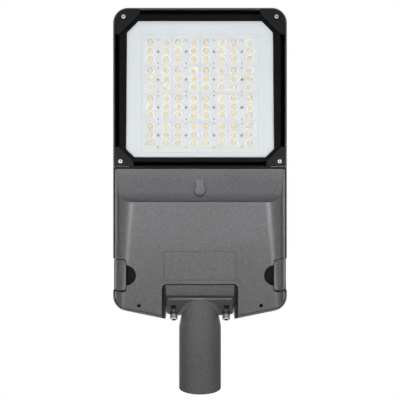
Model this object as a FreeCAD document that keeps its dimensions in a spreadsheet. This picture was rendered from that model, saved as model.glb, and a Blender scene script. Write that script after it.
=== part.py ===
import FreeCAD, Part
import math
import os

# LED street light in its installed pose: +Z up, light shining down to -Z, +Y from the pole socket
# to the LED end. The origin is the centre of the pole socket's mouth. Millimetres.

doc = FreeCAD.newDocument("street_light")
sheet = doc.addObject("Spreadsheet::Sheet", "sizes")

DIMENSIONS = [
    ("housing_half_width", 151.0, "half width of the casting"),
    ("housing_front", 665.0, "LED end of the casting"),
    ("housing_rear", 125.5, "rear edge beside the socket notch"),
    ("corner_round", 26.0, "plan radius of the four outer corners"),
    ("rim_low", -16.5, "lower edge of the casting's lip"),
    ("roof_high", 48.0, "roof over the gear"),
    ("nose_high", 22.0, "roof near the LED end"),
    ("housing_wall", 3.0, "casting wall"),
    ("lip_wall", 1.9, "outer lip round the glass and the cover"),
    ("notch_half", 65.5, "half width of the socket notch"),
    ("notch_housing", 150.0, "depth of the notch in the casting"),
    ("notch_cover", 187.0, "depth of the notch in the cover"),
    ("glass_rear", 390.0, "rear edge of the glass"),
    ("glass_thick", 4.0, "glass thickness"),
    ("glass_low", -16.0, "outer face of the glass"),
    ("glass_gap", 0.6, "gap round the glass"),
    ("glass_rear_cut", 26.0, "cut rear corners of the glass under the clamps"),
    ("glass_front_cut", 36.0, "cut front corners of the glass"),
    ("gasket_thick", 3.0, "glass gasket"),
    ("gasket_wide", 8.0, "width of both gaskets"),
    ("board_thick", 1.6, "LED board"),
    ("board_low", -3.5, "lower face of the LED boards"),
    ("module_gap", 0.8, "gap between lens plates"),
    ("lens_base", 3.0, "lens plate thickness"),
    ("lens_recess", 2.0, "hollow behind a lens plate"),
    ("lens_rim", 1.6, "rim of that hollow"),
    ("lens_tall", 5.0, "height of a lens"),
    ("chip_side", 3.4, "LED chip"),
    ("chip_thick", 1.8, "LED chip height"),
    ("sheet_thick", 1.0, "reflector and tray sheet"),
    ("heat_floor", 7.0, "thickness of the plate that carries the boards"),
    ("fin_pitch", 13.0, "pitch of the cooling fins"),
    ("fin_thick", 3.6, "cooling fin"),
    ("cover_gap", 1.8, "gap between cover and lip"),
    ("cover_crest", 327.0, "crest between cove and face"),
    ("cover_face", -42.0, "face of the cover at its crest"),
    ("cover_edge_low", -16.2, "underside of the cover's edge"),
    ("cover_top", -13.2, "seat of the cover on its gasket"),
    ("cover_wall", 3.0, "cover wall"),
    ("cover_edge_flat", 3.5, "flat edge of the cover"),
    ("cover_slope", 12.0, "width of the steep side of the cover"),
    ("cover_shoulder", 37.0, "radius between side and face"),
    ("cover_foot", 6.0, "radius at the foot of the side"),
    ("plate_recess", 1.0, "depth of the bare recess"),
    ("plate_half", 62.0, "half width of the bare recess"),
    ("plate_rear", 194.0, "rear edge of the bare recess"),
    ("plate_front", 243.0, "front edge of the bare recess"),
    ("overlap", 1.0, "how far a cutting shape passes the face it cuts"),
    ("beyond", 100.0, "reach of a cutting shape beyond the whole part"),
    ("roof_rear_drop", 22.0, "height of the slope at the casting's rear"),
    ("roof_rear_round", 14.0, "round at the foot of that slope"),
    ("roof_rear_run", 30.0, "length of that slope"),
    ("roof_bend", 40.0, "round at the ends of the roof"),
    ("roof_ridge", 200.0, "round between the roof and the fins' slope"),
    ("nose_run", 26.0, "length of the slope at the casting's front"),
    ("nose_drop", 16.0, "height of that slope"),
    ("nose_round", 8.0, "round at the foot of that slope"),
    ("knee_high", 4.0, "height of the knee in the casting's side"),
    ("knee_round", 8.0, "round of that knee"),
    ("crown", 4.0, "section's top above the roof"),
    ("roof_side_round", 26.0, "round between the casting's side and roof"),
    ("cavity_round", 6.0, "front corners of the gear space"),
    ("cover_round", 2.0, "front corners of the cover"),
    ("clamp_corner", 2.0, "outer corner of a rear clamp"),
    ("saddle_lap", 8.0, "overlap of the saddle's two parts, in degrees"),
    ("slot_reach", 5.0, "reach of a slot's cutting shape past the saddle"),
    ("set_grip", 0.5, "end of a set screw from the bore"),
    ("passage_roof", 18.0, "from the roof to the seat's passage"),
    ("lead_long", 60.0, "length of the lead hole through the seat"),
    ("seat_step", 2.0, "seat from the cover's notch"),
    ("bolt_tail", 4.0, "bolt beyond the seat's wall"),
    ("latch_play", 0.6, "latch eye to its room"),
    ("latch_pin_end", 6.0, "pin beyond the latch at each end"),
    ("hinge_web", 8.0, "height of the web over a hinge lug"),
    ("ear_round", 2.0, "corners of the driver's ears"),
    ("plate_round", 5.0, "corner radius of the bare recess"),
    ("hinge_lift", 2.7, "cover hinge axis above the cover's edge"),
    ("hinge_pin", 1.3, "hinge pin radius"),
    ("hinge_eye", 2.5, "outer radius of the hinge eyes and lugs"),
    ("hinge_eye_long", 12.0, "length of the cover's hinge eye"),
    ("hinge_lug", 8.0, "length of each hinge lug"),
    ("pin_fit", 0.06, "radial clearance of the pins"),
    ("side_gap", 0.5, "end play beside the eyes"),
    ("latch_rear", 176.0, "rear end of a latch"),
    ("latch_front", 228.0, "front end of a latch"),
    ("latch_thick", 3.0, "latch thickness"),
    ("latch_inset", 1.0, "latch behind the casting's side"),
    ("latch_gap", 1.5, "gap round a latch"),
    ("latch_swing_gap", 3.4, "gap on the side that the cover swings to"),
    ("latch_axis_z", -6.0, "latch pin axis"),
    ("latch_eye", 3.0, "latch eye radius"),
    ("latch_pin", 1.4, "latch pin radius"),
    ("finger_radius", 17.4, "finger recess"),
    ("finger_deep", 12.0, "depth of the finger recess"),
    ("tilt_y", 177.5, "tilt axis"),
    ("tilt_z", 17.0, "tilt axis"),
    ("seat_radius", 46.5, "round seat of the casting"),
    ("seal_gap", 0.4, "gap between gear gasket and cover"),
    ("seal_wide", 6.0, "gear gasket width"),
    ("gear_rim", 10.0, "width of the casting round the gear compartment"),
    ("seat_half", 60.0, "half width of the seat"),
    ("seat_wall", 6.0, "seat wall"),
    ("tilt_gap", 0.3, "clearance between seat and saddle"),
    ("saddle_thick", 5.7, "saddle flange"),
    ("saddle_half", 57.6, "half width of the saddle"),
    ("saddle_tail_half", 51.0, "half width of the saddle past the bolts"),
    ("saddle_start", 17.0, "angle of the saddle's front edge from straight down"),
    ("saddle_waist", 66.0, "angle where the saddle narrows"),
    ("saddle_end", 104.0, "angle of the saddle's upper edge"),
    ("saddle_edge", 1.4, "round along the saddle's rim"),
    ("saddle_round", 6.0, "corner radius of the saddle"),
    ("slot_x", 45.5, "slots and bolts"),
    ("slot_wide", 9.0, "slot width"),
    ("slot_angle", 17.0, "travel of the bolt each way in the slot, degrees"),
    ("bolt_angle", 57.0, "angle of the tilt bolts from straight down"),
    ("bolt_radius", 4.0, "tilt bolt shank"),
    ("bolt_head", 6.5, "tilt bolt head radius"),
    ("bolt_head_tall", 8.0, "tilt bolt head"),
    ("bolt_socket", 3.4, "hexagon socket of the bolt"),
    ("washer_radius", 8.0, "washer"),
    ("washer_thick", 3.6, "flat and spring washer"),
    ("socket_radius", 36.9, "outside of the pole socket"),
    ("socket_bore", 31.0, "bore of the pole socket"),
    ("socket_deep", 100.0, "depth of the pole socket"),
    ("neck_radius", 32.6, "neck between socket and saddle"),
    ("neck_start", 112.0, "middle of the neck's outward bend"),
    ("neck_full", 128.0, "middle of the neck's inward bend"),
    ("neck_bend", 60.0, "radius of both bends of the neck"),
    ("lead_radius", 14.0, "hole for the supply lead"),
    ("set_screw", 4.0, "pole set screw radius"),
    ("set_boss", 8.5, "boss of a set screw"),
    ("set_boss_tall", 5.0, "height of that boss"),
    ("clamp_thick", 2.5, "glass clamp"),
    ("clamp_reach", 16.0, "from clamp screw to the clamp's slanted edge"),
    ("clamp_screw", 2.0, "clamp screw shank radius"),
    ("clamp_head", 3.3, "clamp screw head radius"),
    ("clamp_deep", 9.0, "clamp screw length in the casting"),
    ("head_tall", 1.8, "head of a small screw"),
    ("screw_radius", 1.4, "small screw shank"),
    ("screw_head", 2.6, "small screw head"),
    ("tray_high", 30.0, "underside of the gear tray's plate"),
    ("tray_rear", 200.0, "rear edge of the tray"),
    ("tray_post", 6.0, "radius of the tray's posts"),
    ("driver_wide", 68.0, "driver"),
    ("driver_long", 126.0, "driver"),
    ("driver_tall", 38.0, "driver"),
    ("driver_round", 6.0, "driver's corner radius"),
    ("spd_wide", 28.0, "surge protector"),
    ("spd_long", 62.0, "surge protector"),
    ("spd_tall", 24.0, "surge protector"),
    ("block_wide", 36.0, "terminal block"),
    ("block_long", 24.0, "terminal block"),
    ("block_tall", 20.0, "terminal block"),
    ("gland_radius", 8.0, "lead-through"),
    ("gland_hole", 5.5, "hole for the lead-through"),
    ("set_first", 30.0, "first set screw from the mouth"),
    ("set_second", 72.0, "second set screw from the mouth"),
    ("clamp_return", 8.0, "straight ends of a clamp's slanted edge"),
    ("drain_radius", 2.7, "drain hole"),
    ("rear_slant", 17.5, "how far the rear edge slants forward to the side"),
    ("shoulder_in", 23.0, "from the side to the edge of the roof"),
    ("fin_in", 26.0, "from the side to the finned field"),
    ("fin_start", 30.0, "from the glass's rear edge to the fins' valleys"),
    ("bulkhead_wall", 1.5, "wall between the cover and the glass"),
    ("bulkhead_low", -11.0, "lower edge of that wall"),
    ("cover_front_gap", 3.5, "gap between the cover and that wall"),
    ("cover_face_rear", -26.0, "face of the cover at its rear edge"),
    ("cover_shoulder_rear", 10.0, "radius between side and face at the rear edge"),
    ("cove_flat_turn", 0.8340, "turn of the cove's flat arc, as a share of the cove's lean"),
    ("cove_turn", 0.6971, "turn of its steep arc past the lean, as a share of the turn to upright"),
    ("notch_step", 5.5, "casting's notch narrower than the cover's"),
    ("notch_round", 8.0, "corner radius of the notch"),
    ("hinge_back", 4.5, "from the cover's front edge to the hinge axis"),
    ("hinge_in", 41.0, "from the side to the middle of a hinge"),
    ("hinge_room", 7.0, "room round the hinge axis"),
    ("latch_reach", 24.0, "from the side to the inner edge of a latch"),
    ("latch_axis_in", 5.0, "from the side to the latch pin axis"),
    ("latch_round", 6.0, "corner radius of a latch tab"),
    ("latch_shelf", 2.0, "shelf past the latch walls"),
    ("clamp_front_in", 18.4, "from the side to a front clamp screw"),
    ("clamp_front_back", 16.0, "from the LED end to a front clamp screw"),
    ("clamp_rear_in", 13.0, "from the side to a rear clamp screw"),
    ("clamp_rear_on", 8.0, "from the glass's rear edge to a rear clamp screw"),
    ("clamp_play", 0.4, "play round a clamp in its seat"),
    ("field_side", 53.0, "from the side to the lens field"),
    ("field_front", 49.0, "from the LED end to the lens field"),
    ("field_rear", 30.0, "from the glass's rear edge to the lens field"),
    ("lens_share_x", 0.561, "lens pitch across, as a share of the plate pitch"),
    ("lens_share_y", 0.298, "lens pitch along, as a share of the plate pitch"),
    ("lens_fill", 0.452, "lens radius as a share of the lens pitch"),
    ("seat_wide", 3.2, "screw seat in a lens plate"),
    ("seat_deep", 1.5, "depth of that seat"),
    ("chip_long", 5.0, "LED chip, along the light"),
    ("gear_back", 26.5, "from the wall behind the glass to the gear compartment"),
    ("tray_in", 55.0, "from the side to the gear tray"),
    ("tray_back", 6.0, "from the gear compartment's front to the tray"),
    ("drain_in", 46.0, "from the side to a drain hole"),
    ("drain_on", 6.5, "from the slanted corner to a drain hole"),
    ("tongue_half", 4.4, "half width of the tongue in the dimple"),
    ("tongue_slot", 1.9, "slot in that tongue"),
    ("tongue_long", 13.0, "length of that tongue"),
    ("tongue_low", -20.0, "face of that tongue"),
    ("boss_top", 5.2, "half width of the dimple's narrow end"),
    ("boss_long", 19.0, "from the dimple's middle to its narrow end"),
    ("tongue_on", 5.5, "from the dimple's middle to the tongue"),
    ("attic_low", 2.0, "floor of the upper gear space over the LED end"),
    ("attic_back", 20.0, "overlap of the upper gear space with the lower one"),
    ("lens_hole", 0.95, "pin hole in a lens plate"),
    ("lens_hole_share", 0.42, "its distance from the plate's middle, as a share of the pitch"),
    ("flange_long", 10.0, "mounting ear of the driver"),
    ("flange_thick", 2.0, "mounting ear of the driver"),
    ("gland_tall", 8.0, "height of the lead-through and the valve cap"),
    ("cord_clamp_on", 14.0, "from the terminal block to the cable clamp"),
    ("gear_clear", 8.0, "gear from the tray's ends"),
    ("valve_radius", 6.0, "breather valve cap"),
    ("valve_hole", 3.0, "breather valve thread"),
    ("cord_clamp_long", 40.0, "cable clamp bar"),
    ("cord_clamp_wide", 12.0, "cable clamp bar"),
    ("cord_clamp_tall", 9.0, "cable clamp bar"),
    ("boss_share", 0.3621, "place of the dimple along the cove, from its crest"),
    ("boss_radius", 10.7, "round dimple"),
    ("boss_level", -17.5, "floor of the dimple"),
]

for row, (alias, value, note) in enumerate(DIMENSIONS, start=1):
    sheet.set("A%d" % row, note)
    sheet.set("B%d" % row, str(value))
    sheet.setAlias("B%d" % row, alias)
doc.recompute()

# Places that follow from those sizes.
PLACES = [
    ("rear_corner_y", "housing_rear + rear_slant", "where the slanted rear edge meets the side"),
    ("shoulder_half", "housing_half_width - shoulder_in", "half width of the roof"),
    ("fin_half", "housing_half_width - fin_in", "half width of the finned field"),
    ("fin_rear", "glass_rear + fin_start", "rear end of the fins' valleys"),
    ("bulkhead_rear", "glass_rear - bulkhead_wall", "gear side of the wall behind the glass"),
    ("cover_front", "bulkhead_rear - cover_front_gap", "front edge of the cover"),
    ("hinge_y", "cover_front - hinge_back", "cover hinge axis"),
    ("hinge_x", "housing_half_width - hinge_in", "middle of a hinge"),
    ("latch_in", "housing_half_width - latch_reach", "inner edge of a latch tab"),
    ("latch_axis_x", "housing_half_width - latch_axis_in", "latch pin axis"),
    ("clamp_front_x", "housing_half_width - clamp_front_in", "front clamp screw"),
    ("clamp_front_y", "housing_front - clamp_front_back", "front clamp screw"),
    ("clamp_rear_x", "housing_half_width - clamp_rear_in", "rear clamp screw"),
    ("clamp_rear_y", "glass_rear + clamp_rear_on", "rear clamp screw"),
    ("module_wide", "(housing_half_width - field_side) / 2", "pitch of the lens plates across"),
    ("module_long", "(housing_front - field_front - glass_rear - field_rear) / 4",
     "pitch of the lens plates along"),
    ("grid_centre", "glass_rear + field_rear + 2 * module_long", "middle of the lens field"),
    ("lens_pitch_x", "module_wide * lens_share_x", "lens pitch across a plate"),
    ("lens_pitch_y", "module_long * lens_share_y", "lens pitch along a plate"),
    ("lens_radius", "lens_pitch_y * lens_fill", "foot of a lens"),
    ("gear_front", "bulkhead_rear - gear_back", "front end of the gear compartment"),
    ("tray_half", "housing_half_width - tray_in", "half width of the tray"),
    ("tray_front", "gear_front - tray_back", "front edge of the tray"),
    ("driver_x", "tray_half - driver_wide / 2 - tray_post * 3", "driver's middle"),
    ("side_x", "-tray_half / 2", "middle of the protector and the block"),
    ("gland_x", "tray_half / 3", "lead-through"),
    ("gland_y", "glass_rear + gasket_wide + lens_base + gland_hole", "lead-through and breather"),
    ("attic_front", "fin_rear - housing_wall", "front end of the upper gear space"),
    ("boss_y", "cover_crest + (cover_front - cover_crest) * boss_share", "middle of the dimple"),
    ("finger_y", "(latch_rear + latch_front) / 2", "middle of a latch"),
    ("cover_fall", "(cover_face_rear - cover_face) / (cover_crest - housing_rear)",
     "rise of the cover's face to the rear"),
    ("finger_face", "cover_face + cover_fall * (cover_crest - finger_y)", "cover's face beside a latch"),
    ("finger_level", "finger_face + finger_deep", "floor of the finger recess"),
    ("drain_x", "housing_half_width - drain_in", "drain hole"),
    ("drain_y", "rear_corner_y + drain_on", "drain hole"),
]
aliases = {alias for alias, value, note in DIMENSIONS}
places = {place for place, expression, note in PLACES}
layout = doc.addObject("App::VarSet", "layout")
pieces = []


def size(alias):
    return float(getattr(sheet if alias in aliases else layout, alias))


def sin(degrees):
    return math.sin(math.radians(degrees))


def cos(degrees):
    return math.cos(math.radians(degrees))


def sized(expression):
    # Puts the sheet's name before each of its aliases.
    text = ""
    word = ""
    for letter in expression + " ":
        if letter.isalnum() or letter == "_":
            word += letter
            continue
        owner = "sizes." if word in aliases else "layout." if word in places else ""
        text += owner + word + letter
        word = ""
    return text.strip()


def bind(thing, **expressions):
    for name, expression in expressions.items():
        thing.setExpression(name, sized(expression))
    return thing


def settle(thing, base):
    for axis, expression in zip("xyz", base):
        thing.setExpression("Placement.Base." + axis, sized(expression))
    return thing


def node(thing, label):
    thing.Label = label
    pieces.append((thing, label))
    return thing


for place, expression, note in PLACES:
    layout.addProperty("App::PropertyFloat", place, "places", note)
    bind(layout, **{place: expression})
    doc.recompute()


# Closed outline through vertices (across, along) or (across, along, corner radius).
def outline(vertices):
    count = len(vertices)
    corners = []
    for i in range(count):
        here = FreeCAD.Vector(vertices[i][0], vertices[i][1], 0)
        before = FreeCAD.Vector(vertices[i - 1][0], vertices[i - 1][1], 0)
        after = FreeCAD.Vector(vertices[(i + 1) % count][0], vertices[(i + 1) % count][1], 0)
        radius = vertices[i][2] if len(vertices[i]) > 2 else 0.0
        if radius == 0:
            corners.append((here, None, here))
            continue
        back = (before - here).normalize()
        ahead = (after - here).normalize()
        half = back.getAngle(ahead) / 2
        reach = radius / math.tan(half)
        middle = here + (back + ahead).normalize() * (radius / math.sin(half) - radius)
        corners.append((here + back * reach, middle, here + ahead * reach))
    edges = []
    for i, (start, middle, end) in enumerate(corners):
        if middle is not None:
            edges.append(Part.Arc(start, middle, end))
        following = corners[(i + 1) % count][0]
        if end.distanceToPoint(following) > 1e-6:
            edges.append(Part.LineSegment(end, following))
    return edges


def mirrored(vertices):
    return vertices + [(-v[0],) + tuple(v[1:]) for v in reversed(vertices)]


def circle(across, along, radius):
    return [Part.Circle(FreeCAD.Vector(across, along, 0), FreeCAD.Vector(0, 0, 1), radius)]


def rectangle(low_x, high_x, low_y, high_y, radius=0.0):
    return outline([(low_x, low_y, radius), (high_x, low_y, radius),
                    (high_x, high_y, radius), (low_x, high_y, radius)])


PLANES = {
    "XY": (FreeCAD.Rotation(), FreeCAD.Vector(0, 0, 1), "z"),
    "XZ": (FreeCAD.Rotation(FreeCAD.Vector(1, 0, 0), 90), FreeCAD.Vector(0, 1, 0), "y"),
    "YZ": (FreeCAD.Rotation(FreeCAD.Vector(1, 1, 1), 120), FreeCAD.Vector(1, 0, 0), "x"),
}


# Prism of an outline drawn in a plane, between two places along the plane's own normal axis.
def prism(name, loops, plane, start, end):
    turn, direction, axis = PLANES[plane]
    sketch = doc.addObject("Sketcher::SketchObject", name + "_sketch")
    sketch.Placement = FreeCAD.Placement(FreeCAD.Vector(), turn)
    for loop in loops:
        sketch.addGeometry(loop, False)
    sketch.setExpression("Placement.Base." + axis, sized(start))
    solid = doc.addObject("Part::Extrusion", name)
    solid.Base = sketch
    solid.DirMode = "Custom"
    solid.Dir = direction
    solid.Solid = True
    return bind(solid, LengthFwd="(%s) - (%s)" % (end, start))


def box(name, x, y, z):
    solid = doc.addObject("Part::Box", name)
    for side, (start, end) in zip(("Length", "Width", "Height"), (x, y, z)):
        solid.setExpression(side, sized("(%s) - (%s)" % (end, start)))
    return settle(solid, [x[0], y[0], z[0]])


def rod(name, radius, length, base, direction=(0, 0, 1)):
    solid = doc.addObject("Part::Cylinder", name)
    turn = FreeCAD.Rotation(FreeCAD.Vector(0, 0, 1), FreeCAD.Vector(*direction))
    solid.Placement = FreeCAD.Placement(FreeCAD.Vector(), turn)
    bind(solid, Radius=radius, Height=length)
    return settle(solid, base)


def common(name, shapes):
    result = doc.addObject("Part::MultiCommon", name)
    result.Shapes = shapes
    return result


def fuse(name, shapes):
    result = doc.addObject("Part::MultiFuse", name)
    result.Shapes = shapes
    result.Refine = True
    return result


def cut(name, base, tools):
    result = doc.addObject("Part::Cut", name)
    result.Base = base
    result.Tool = tools[0] if len(tools) == 1 else fuse(name + "_tools", tools)
    result.Refine = True
    return result


def group(name, shapes):
    result = doc.addObject("Part::Compound", name)
    result.Links = shapes
    return result


# Flat piece padded up from a level.
def flat_body(name, loops, level, thickness):
    body = doc.addObject("PartDesign::Body", name)
    plane = [f for f in body.Origin.OriginFeatures if f.Role == "XY_Plane"][0]
    sketch = body.newObject("Sketcher::SketchObject", name + "_outline")
    sketch.AttachmentSupport = (plane, [""])
    sketch.MapMode = "FlatFace"
    sketch.setExpression("AttachmentOffset.Base.z", sized(level))
    for loop in loops:
        sketch.addGeometry(loop, False)
    pad = body.newObject("PartDesign::Pad", name + "_pad")
    pad.Profile = sketch
    bind(pad, Length=thickness)
    return body


# Plan of the casting moved inwards, with the socket notch cut into its rear.
def plan(inset, front, notch, mouth, rear_corner, front_corner):
    half = size("housing_half_width") - inset
    slant = size("rear_corner_y") - size("housing_rear")
    slant /= size("housing_half_width") - size("notch_half")
    lift = inset * math.hypot(1, slant)
    rear = size("housing_rear") + lift + slant * (mouth - size("notch_half"))
    side = rear + slant * (half - mouth)
    inner = size("notch_round") if notch > size("notch_housing") else 0
    return outline(mirrored([(mouth, notch, inner), (mouth, rear), (half, side, rear_corner),
                             (half, front, front_corner)]))


# The casting's side view and cross-section, moved inwards.
def housing_side(inset):
    rear = size("housing_rear") - size("overlap") + inset
    front = size("housing_front") + size("overlap") - inset
    low = size("rim_low") - inset
    roof = size("roof_high") - inset
    nose = size("nose_high") - inset
    return outline([(rear, low), (rear, roof - size("roof_rear_drop"), size("roof_rear_round")),
                    (rear + size("roof_rear_run"), roof, size("roof_bend")),
                    (size("bulkhead_rear"), roof, size("roof_ridge")),
                    (front - size("nose_run"), nose, size("roof_bend")),
                    (front, nose - size("nose_drop"), size("nose_round")), (front, low)])


def housing_section(inset):
    half = size("housing_half_width") - inset
    shoulder = size("shoulder_half") - inset
    low = size("rim_low") - inset
    top = size("roof_high") + size("crown") - inset
    return outline(mirrored([(half, low), (half, size("knee_high"), size("knee_round")),
                             (shoulder, top, size("roof_side_round"))]))


def casting(name, inset, plan_loop):
    side = prism(name + "_side", [housing_side(inset)], "YZ", "-housing_half_width", "housing_half_width")
    section = prism(name + "_section", [housing_section(inset)], "XZ", "0", "housing_front + beyond")
    floor = prism(name + "_plan", [plan_loop], "XY", "rim_low - beyond", "roof_high + beyond")
    return common(name, [side, section, floor])


ledge = "cover_top + seal_gap + gasket_thick"
glass_seat = "glass_low + glass_thick + gasket_thick"
board_high = "board_low + board_thick"
hinge_z = "cover_top + hinge_lift"


# Glass outline: a rectangle with cut corners, moved inwards.
def glass_outline(inset):
    edge = size("lip_wall") + size("glass_gap") + inset
    half = size("housing_half_width") - edge
    rear = size("glass_rear") + inset
    front = size("housing_front") - edge
    loss = inset * (2 - math.sqrt(2))
    back = size("glass_rear_cut") - loss
    fore = size("glass_front_cut") - loss
    return outline(mirrored([(half - back, rear), (half, rear + back), (half, front - fore),
                             (half - fore, front)]))


# Ring sector round the tilt axis, seen along X; angles from straight down towards the socket.
def ring_sector(inner, outer, start, end):
    def spot(radius, angle):
        return FreeCAD.Vector(size("tilt_y") - radius * sin(angle), size("tilt_z") - radius * cos(angle), 0)
    middle = (start + end) / 2
    return [Part.Arc(spot(outer, start), spot(outer, middle), spot(outer, end)),
            Part.LineSegment(spot(outer, end), spot(inner, end)),
            Part.Arc(spot(inner, end), spot(inner, middle), spot(inner, start)),
            Part.LineSegment(spot(inner, start), spot(outer, start))]


def radial_rod(name, x, angle, radius, start, length):
    where = [x, "tilt_y - (%s) * sin(%s * 1 deg)" % (start, angle),
             "tilt_z - (%s) * cos(%s * 1 deg)" % (start, angle)]
    degrees = size(angle)
    return rod(name, radius, length, where, (0, -sin(degrees), -cos(degrees)))


SIDES = (("left", 1), ("right", -1))


def signed(sign, expression):
    return expression if sign > 0 else "-(%s)" % expression


def span(sign, low, high):
    return (low, high) if sign > 0 else ("-(%s)" % high, "-(%s)" % low)


# Where each glass clamp stands: name, side, screw place, end of the glass, direction of that end.
CLAMPS = [("glass_clamp_%s_%s" % (end, side), sign, end)
          for end in ("front", "rear") for side, sign in SIDES]


def clamp_outline(sign, end, grow):
    edge = size("lip_wall") + size("glass_gap") - grow
    half = size("housing_half_width") - edge
    screw_x = size("clamp_%s_x" % end)
    screw_y = size("clamp_%s_y" % end)
    away = 1 if end == "front" else -1
    stop = size("housing_front") - edge if end == "front" else size("glass_rear") - grow
    corner = size("corner_round") - edge if end == "front" else size("clamp_corner")
    reach = size("clamp_reach") * math.sqrt(2) + grow
    turn = away * screw_y + screw_x - reach
    step = size("clamp_return")
    vertices = [(half, away * (turn - half + step)), (half - step, away * (turn - half + step)),
                (turn - away * stop + step, stop - away * step), (turn - away * stop + step, stop),
                (half, stop, corner)]
    return outline([(sign * x, y) + tuple(more) for x, y, *more in vertices])


# Pole socket with its saddle: a turned tube, a curved slotted flange and two screw bosses.
def make_socket():
    profile = outline([(0, size("socket_bore")), (0, size("socket_radius")),
                       (size("neck_start"), size("socket_radius"), size("neck_bend")),
                       (size("neck_full"), size("neck_radius"), size("neck_bend")),
                       (size("tilt_y"), size("neck_radius")), (size("tilt_y"), size("lead_radius")),
                       (size("socket_deep"), size("lead_radius")),
                       (size("socket_deep"), size("socket_bore"))])
    sketch = doc.addObject("Sketcher::SketchObject", "socket_profile")
    sketch.Placement = FreeCAD.Placement(FreeCAD.Vector(), PLANES["YZ"][0])
    sketch.addGeometry(profile, False)
    tube = doc.addObject("Part::Revolution", "socket_tube")
    tube.Source = sketch
    tube.Axis = FreeCAD.Vector(0, 1, 0)
    tube.Angle = 360
    tube.Solid = True
    inner = size("seat_radius") + size("tilt_gap")
    outer = inner + size("saddle_thick")
    front = prism("saddle_front", [ring_sector(inner, outer, size("saddle_start"), size("saddle_waist"))],
                  "YZ", "-saddle_half", "saddle_half")
    tail = prism("saddle_tail",
                 [ring_sector(inner, outer, size("saddle_waist") - size("saddle_lap"), size("saddle_end"))],
                 "YZ", "-saddle_tail_half", "saddle_tail_half")
    rounded = doc.addObject("Part::Fillet", "saddle_front_rounded")
    rounded.Base = front
    doc.recompute()
    corners = [i for i, edge in enumerate(front.Shape.Edges, start=1)
               if edge.Curve.TypeId == "Part::GeomLine" and abs(edge.Length - size("saddle_thick")) < 1e-3]
    rounded.Edges = [(i, size("saddle_round"), size("saddle_round")) for i in corners]
    doc.recompute()
    axis = FreeCAD.Vector(0, size("tilt_y"), size("tilt_z"))
    softened = doc.addObject("Part::Fillet", "saddle_front_softened")
    softened.Base = rounded
    across = FreeCAD.Vector(1, 0, 0)
    rim = [i for i, edge in enumerate(rounded.Shape.Edges, start=1)
           if all(abs((v.Point - axis).cross(across).Length - outer) < 1e-3 for v in edge.Vertexes)]
    softened.Edges = [(i, size("saddle_edge"), size("saddle_edge")) for i in rim]
    bosses = []
    holes = []
    screws = []
    for i, place in enumerate(("set_first", "set_second")):
        bosses.append(rod("set_boss_%d" % i, "set_boss",
                          "socket_radius + set_boss_tall - socket_bore - overlap",
                          ["0", place, "socket_bore + overlap"]))
        holes.append(rod("set_hole_%d" % i, "set_screw + pin_fit", "socket_radius + set_boss_tall",
                         ["0", place, "socket_bore - overlap"]))
        screws.append(rod("set_screw_%d" % i, "set_screw", "socket_radius + set_boss_tall - socket_bore",
                          ["0", place, "socket_bore + set_grip"]))
    room = rod("saddle_room", "seat_radius + tilt_gap", "housing_half_width",
               ["-housing_half_width / 2", "tilt_y", "tilt_z"], (1, 0, 0))
    past = box("saddle_past", ("-neck_radius - overlap", "neck_radius + overlap"),
               ("tilt_y - (seat_radius + tilt_gap) * sin(saddle_start * 1 deg)", "tilt_y + slot_reach"),
               ("-neck_radius - overlap", "neck_radius + overlap"))
    slots = []
    for side, sign in SIDES:
        low, high = span(sign, "slot_x - slot_wide / 2", "slot_x + slot_wide / 2")
        slots.append(prism("slot_" + side,
                           [ring_sector(inner - size("slot_reach"), outer + size("slot_reach"),
                                        size("bolt_angle") - size("slot_angle"),
                                                        size("bolt_angle") + size("slot_angle"))], "YZ",
                           low, high))
        for end, turn in (("low", -1), ("high", 1)):
            degrees = size("bolt_angle") + turn * size("slot_angle")
            shift = "bolt_angle + %d * slot_angle" % turn
            where = [signed(sign, "slot_x"),
                     "tilt_y - (seat_radius - slot_reach) * sin((%s) * 1 deg)" % shift,
                     "tilt_z - (seat_radius - slot_reach) * cos((%s) * 1 deg)" % shift]
            slots.append(rod("slot_%s_%s" % (side, end), "slot_wide / 2", "saddle_thick + 3 * slot_reach",
                             where,
                             (0, -sin(degrees), -cos(degrees))))
    solid = fuse("socket_solid", [tube, softened, tail] + bosses)
    node(cut("socket", solid, [room, past] + holes + slots), "spigot_adapter")
    node(group("set_screws", screws), "pole_set_screws")


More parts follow.
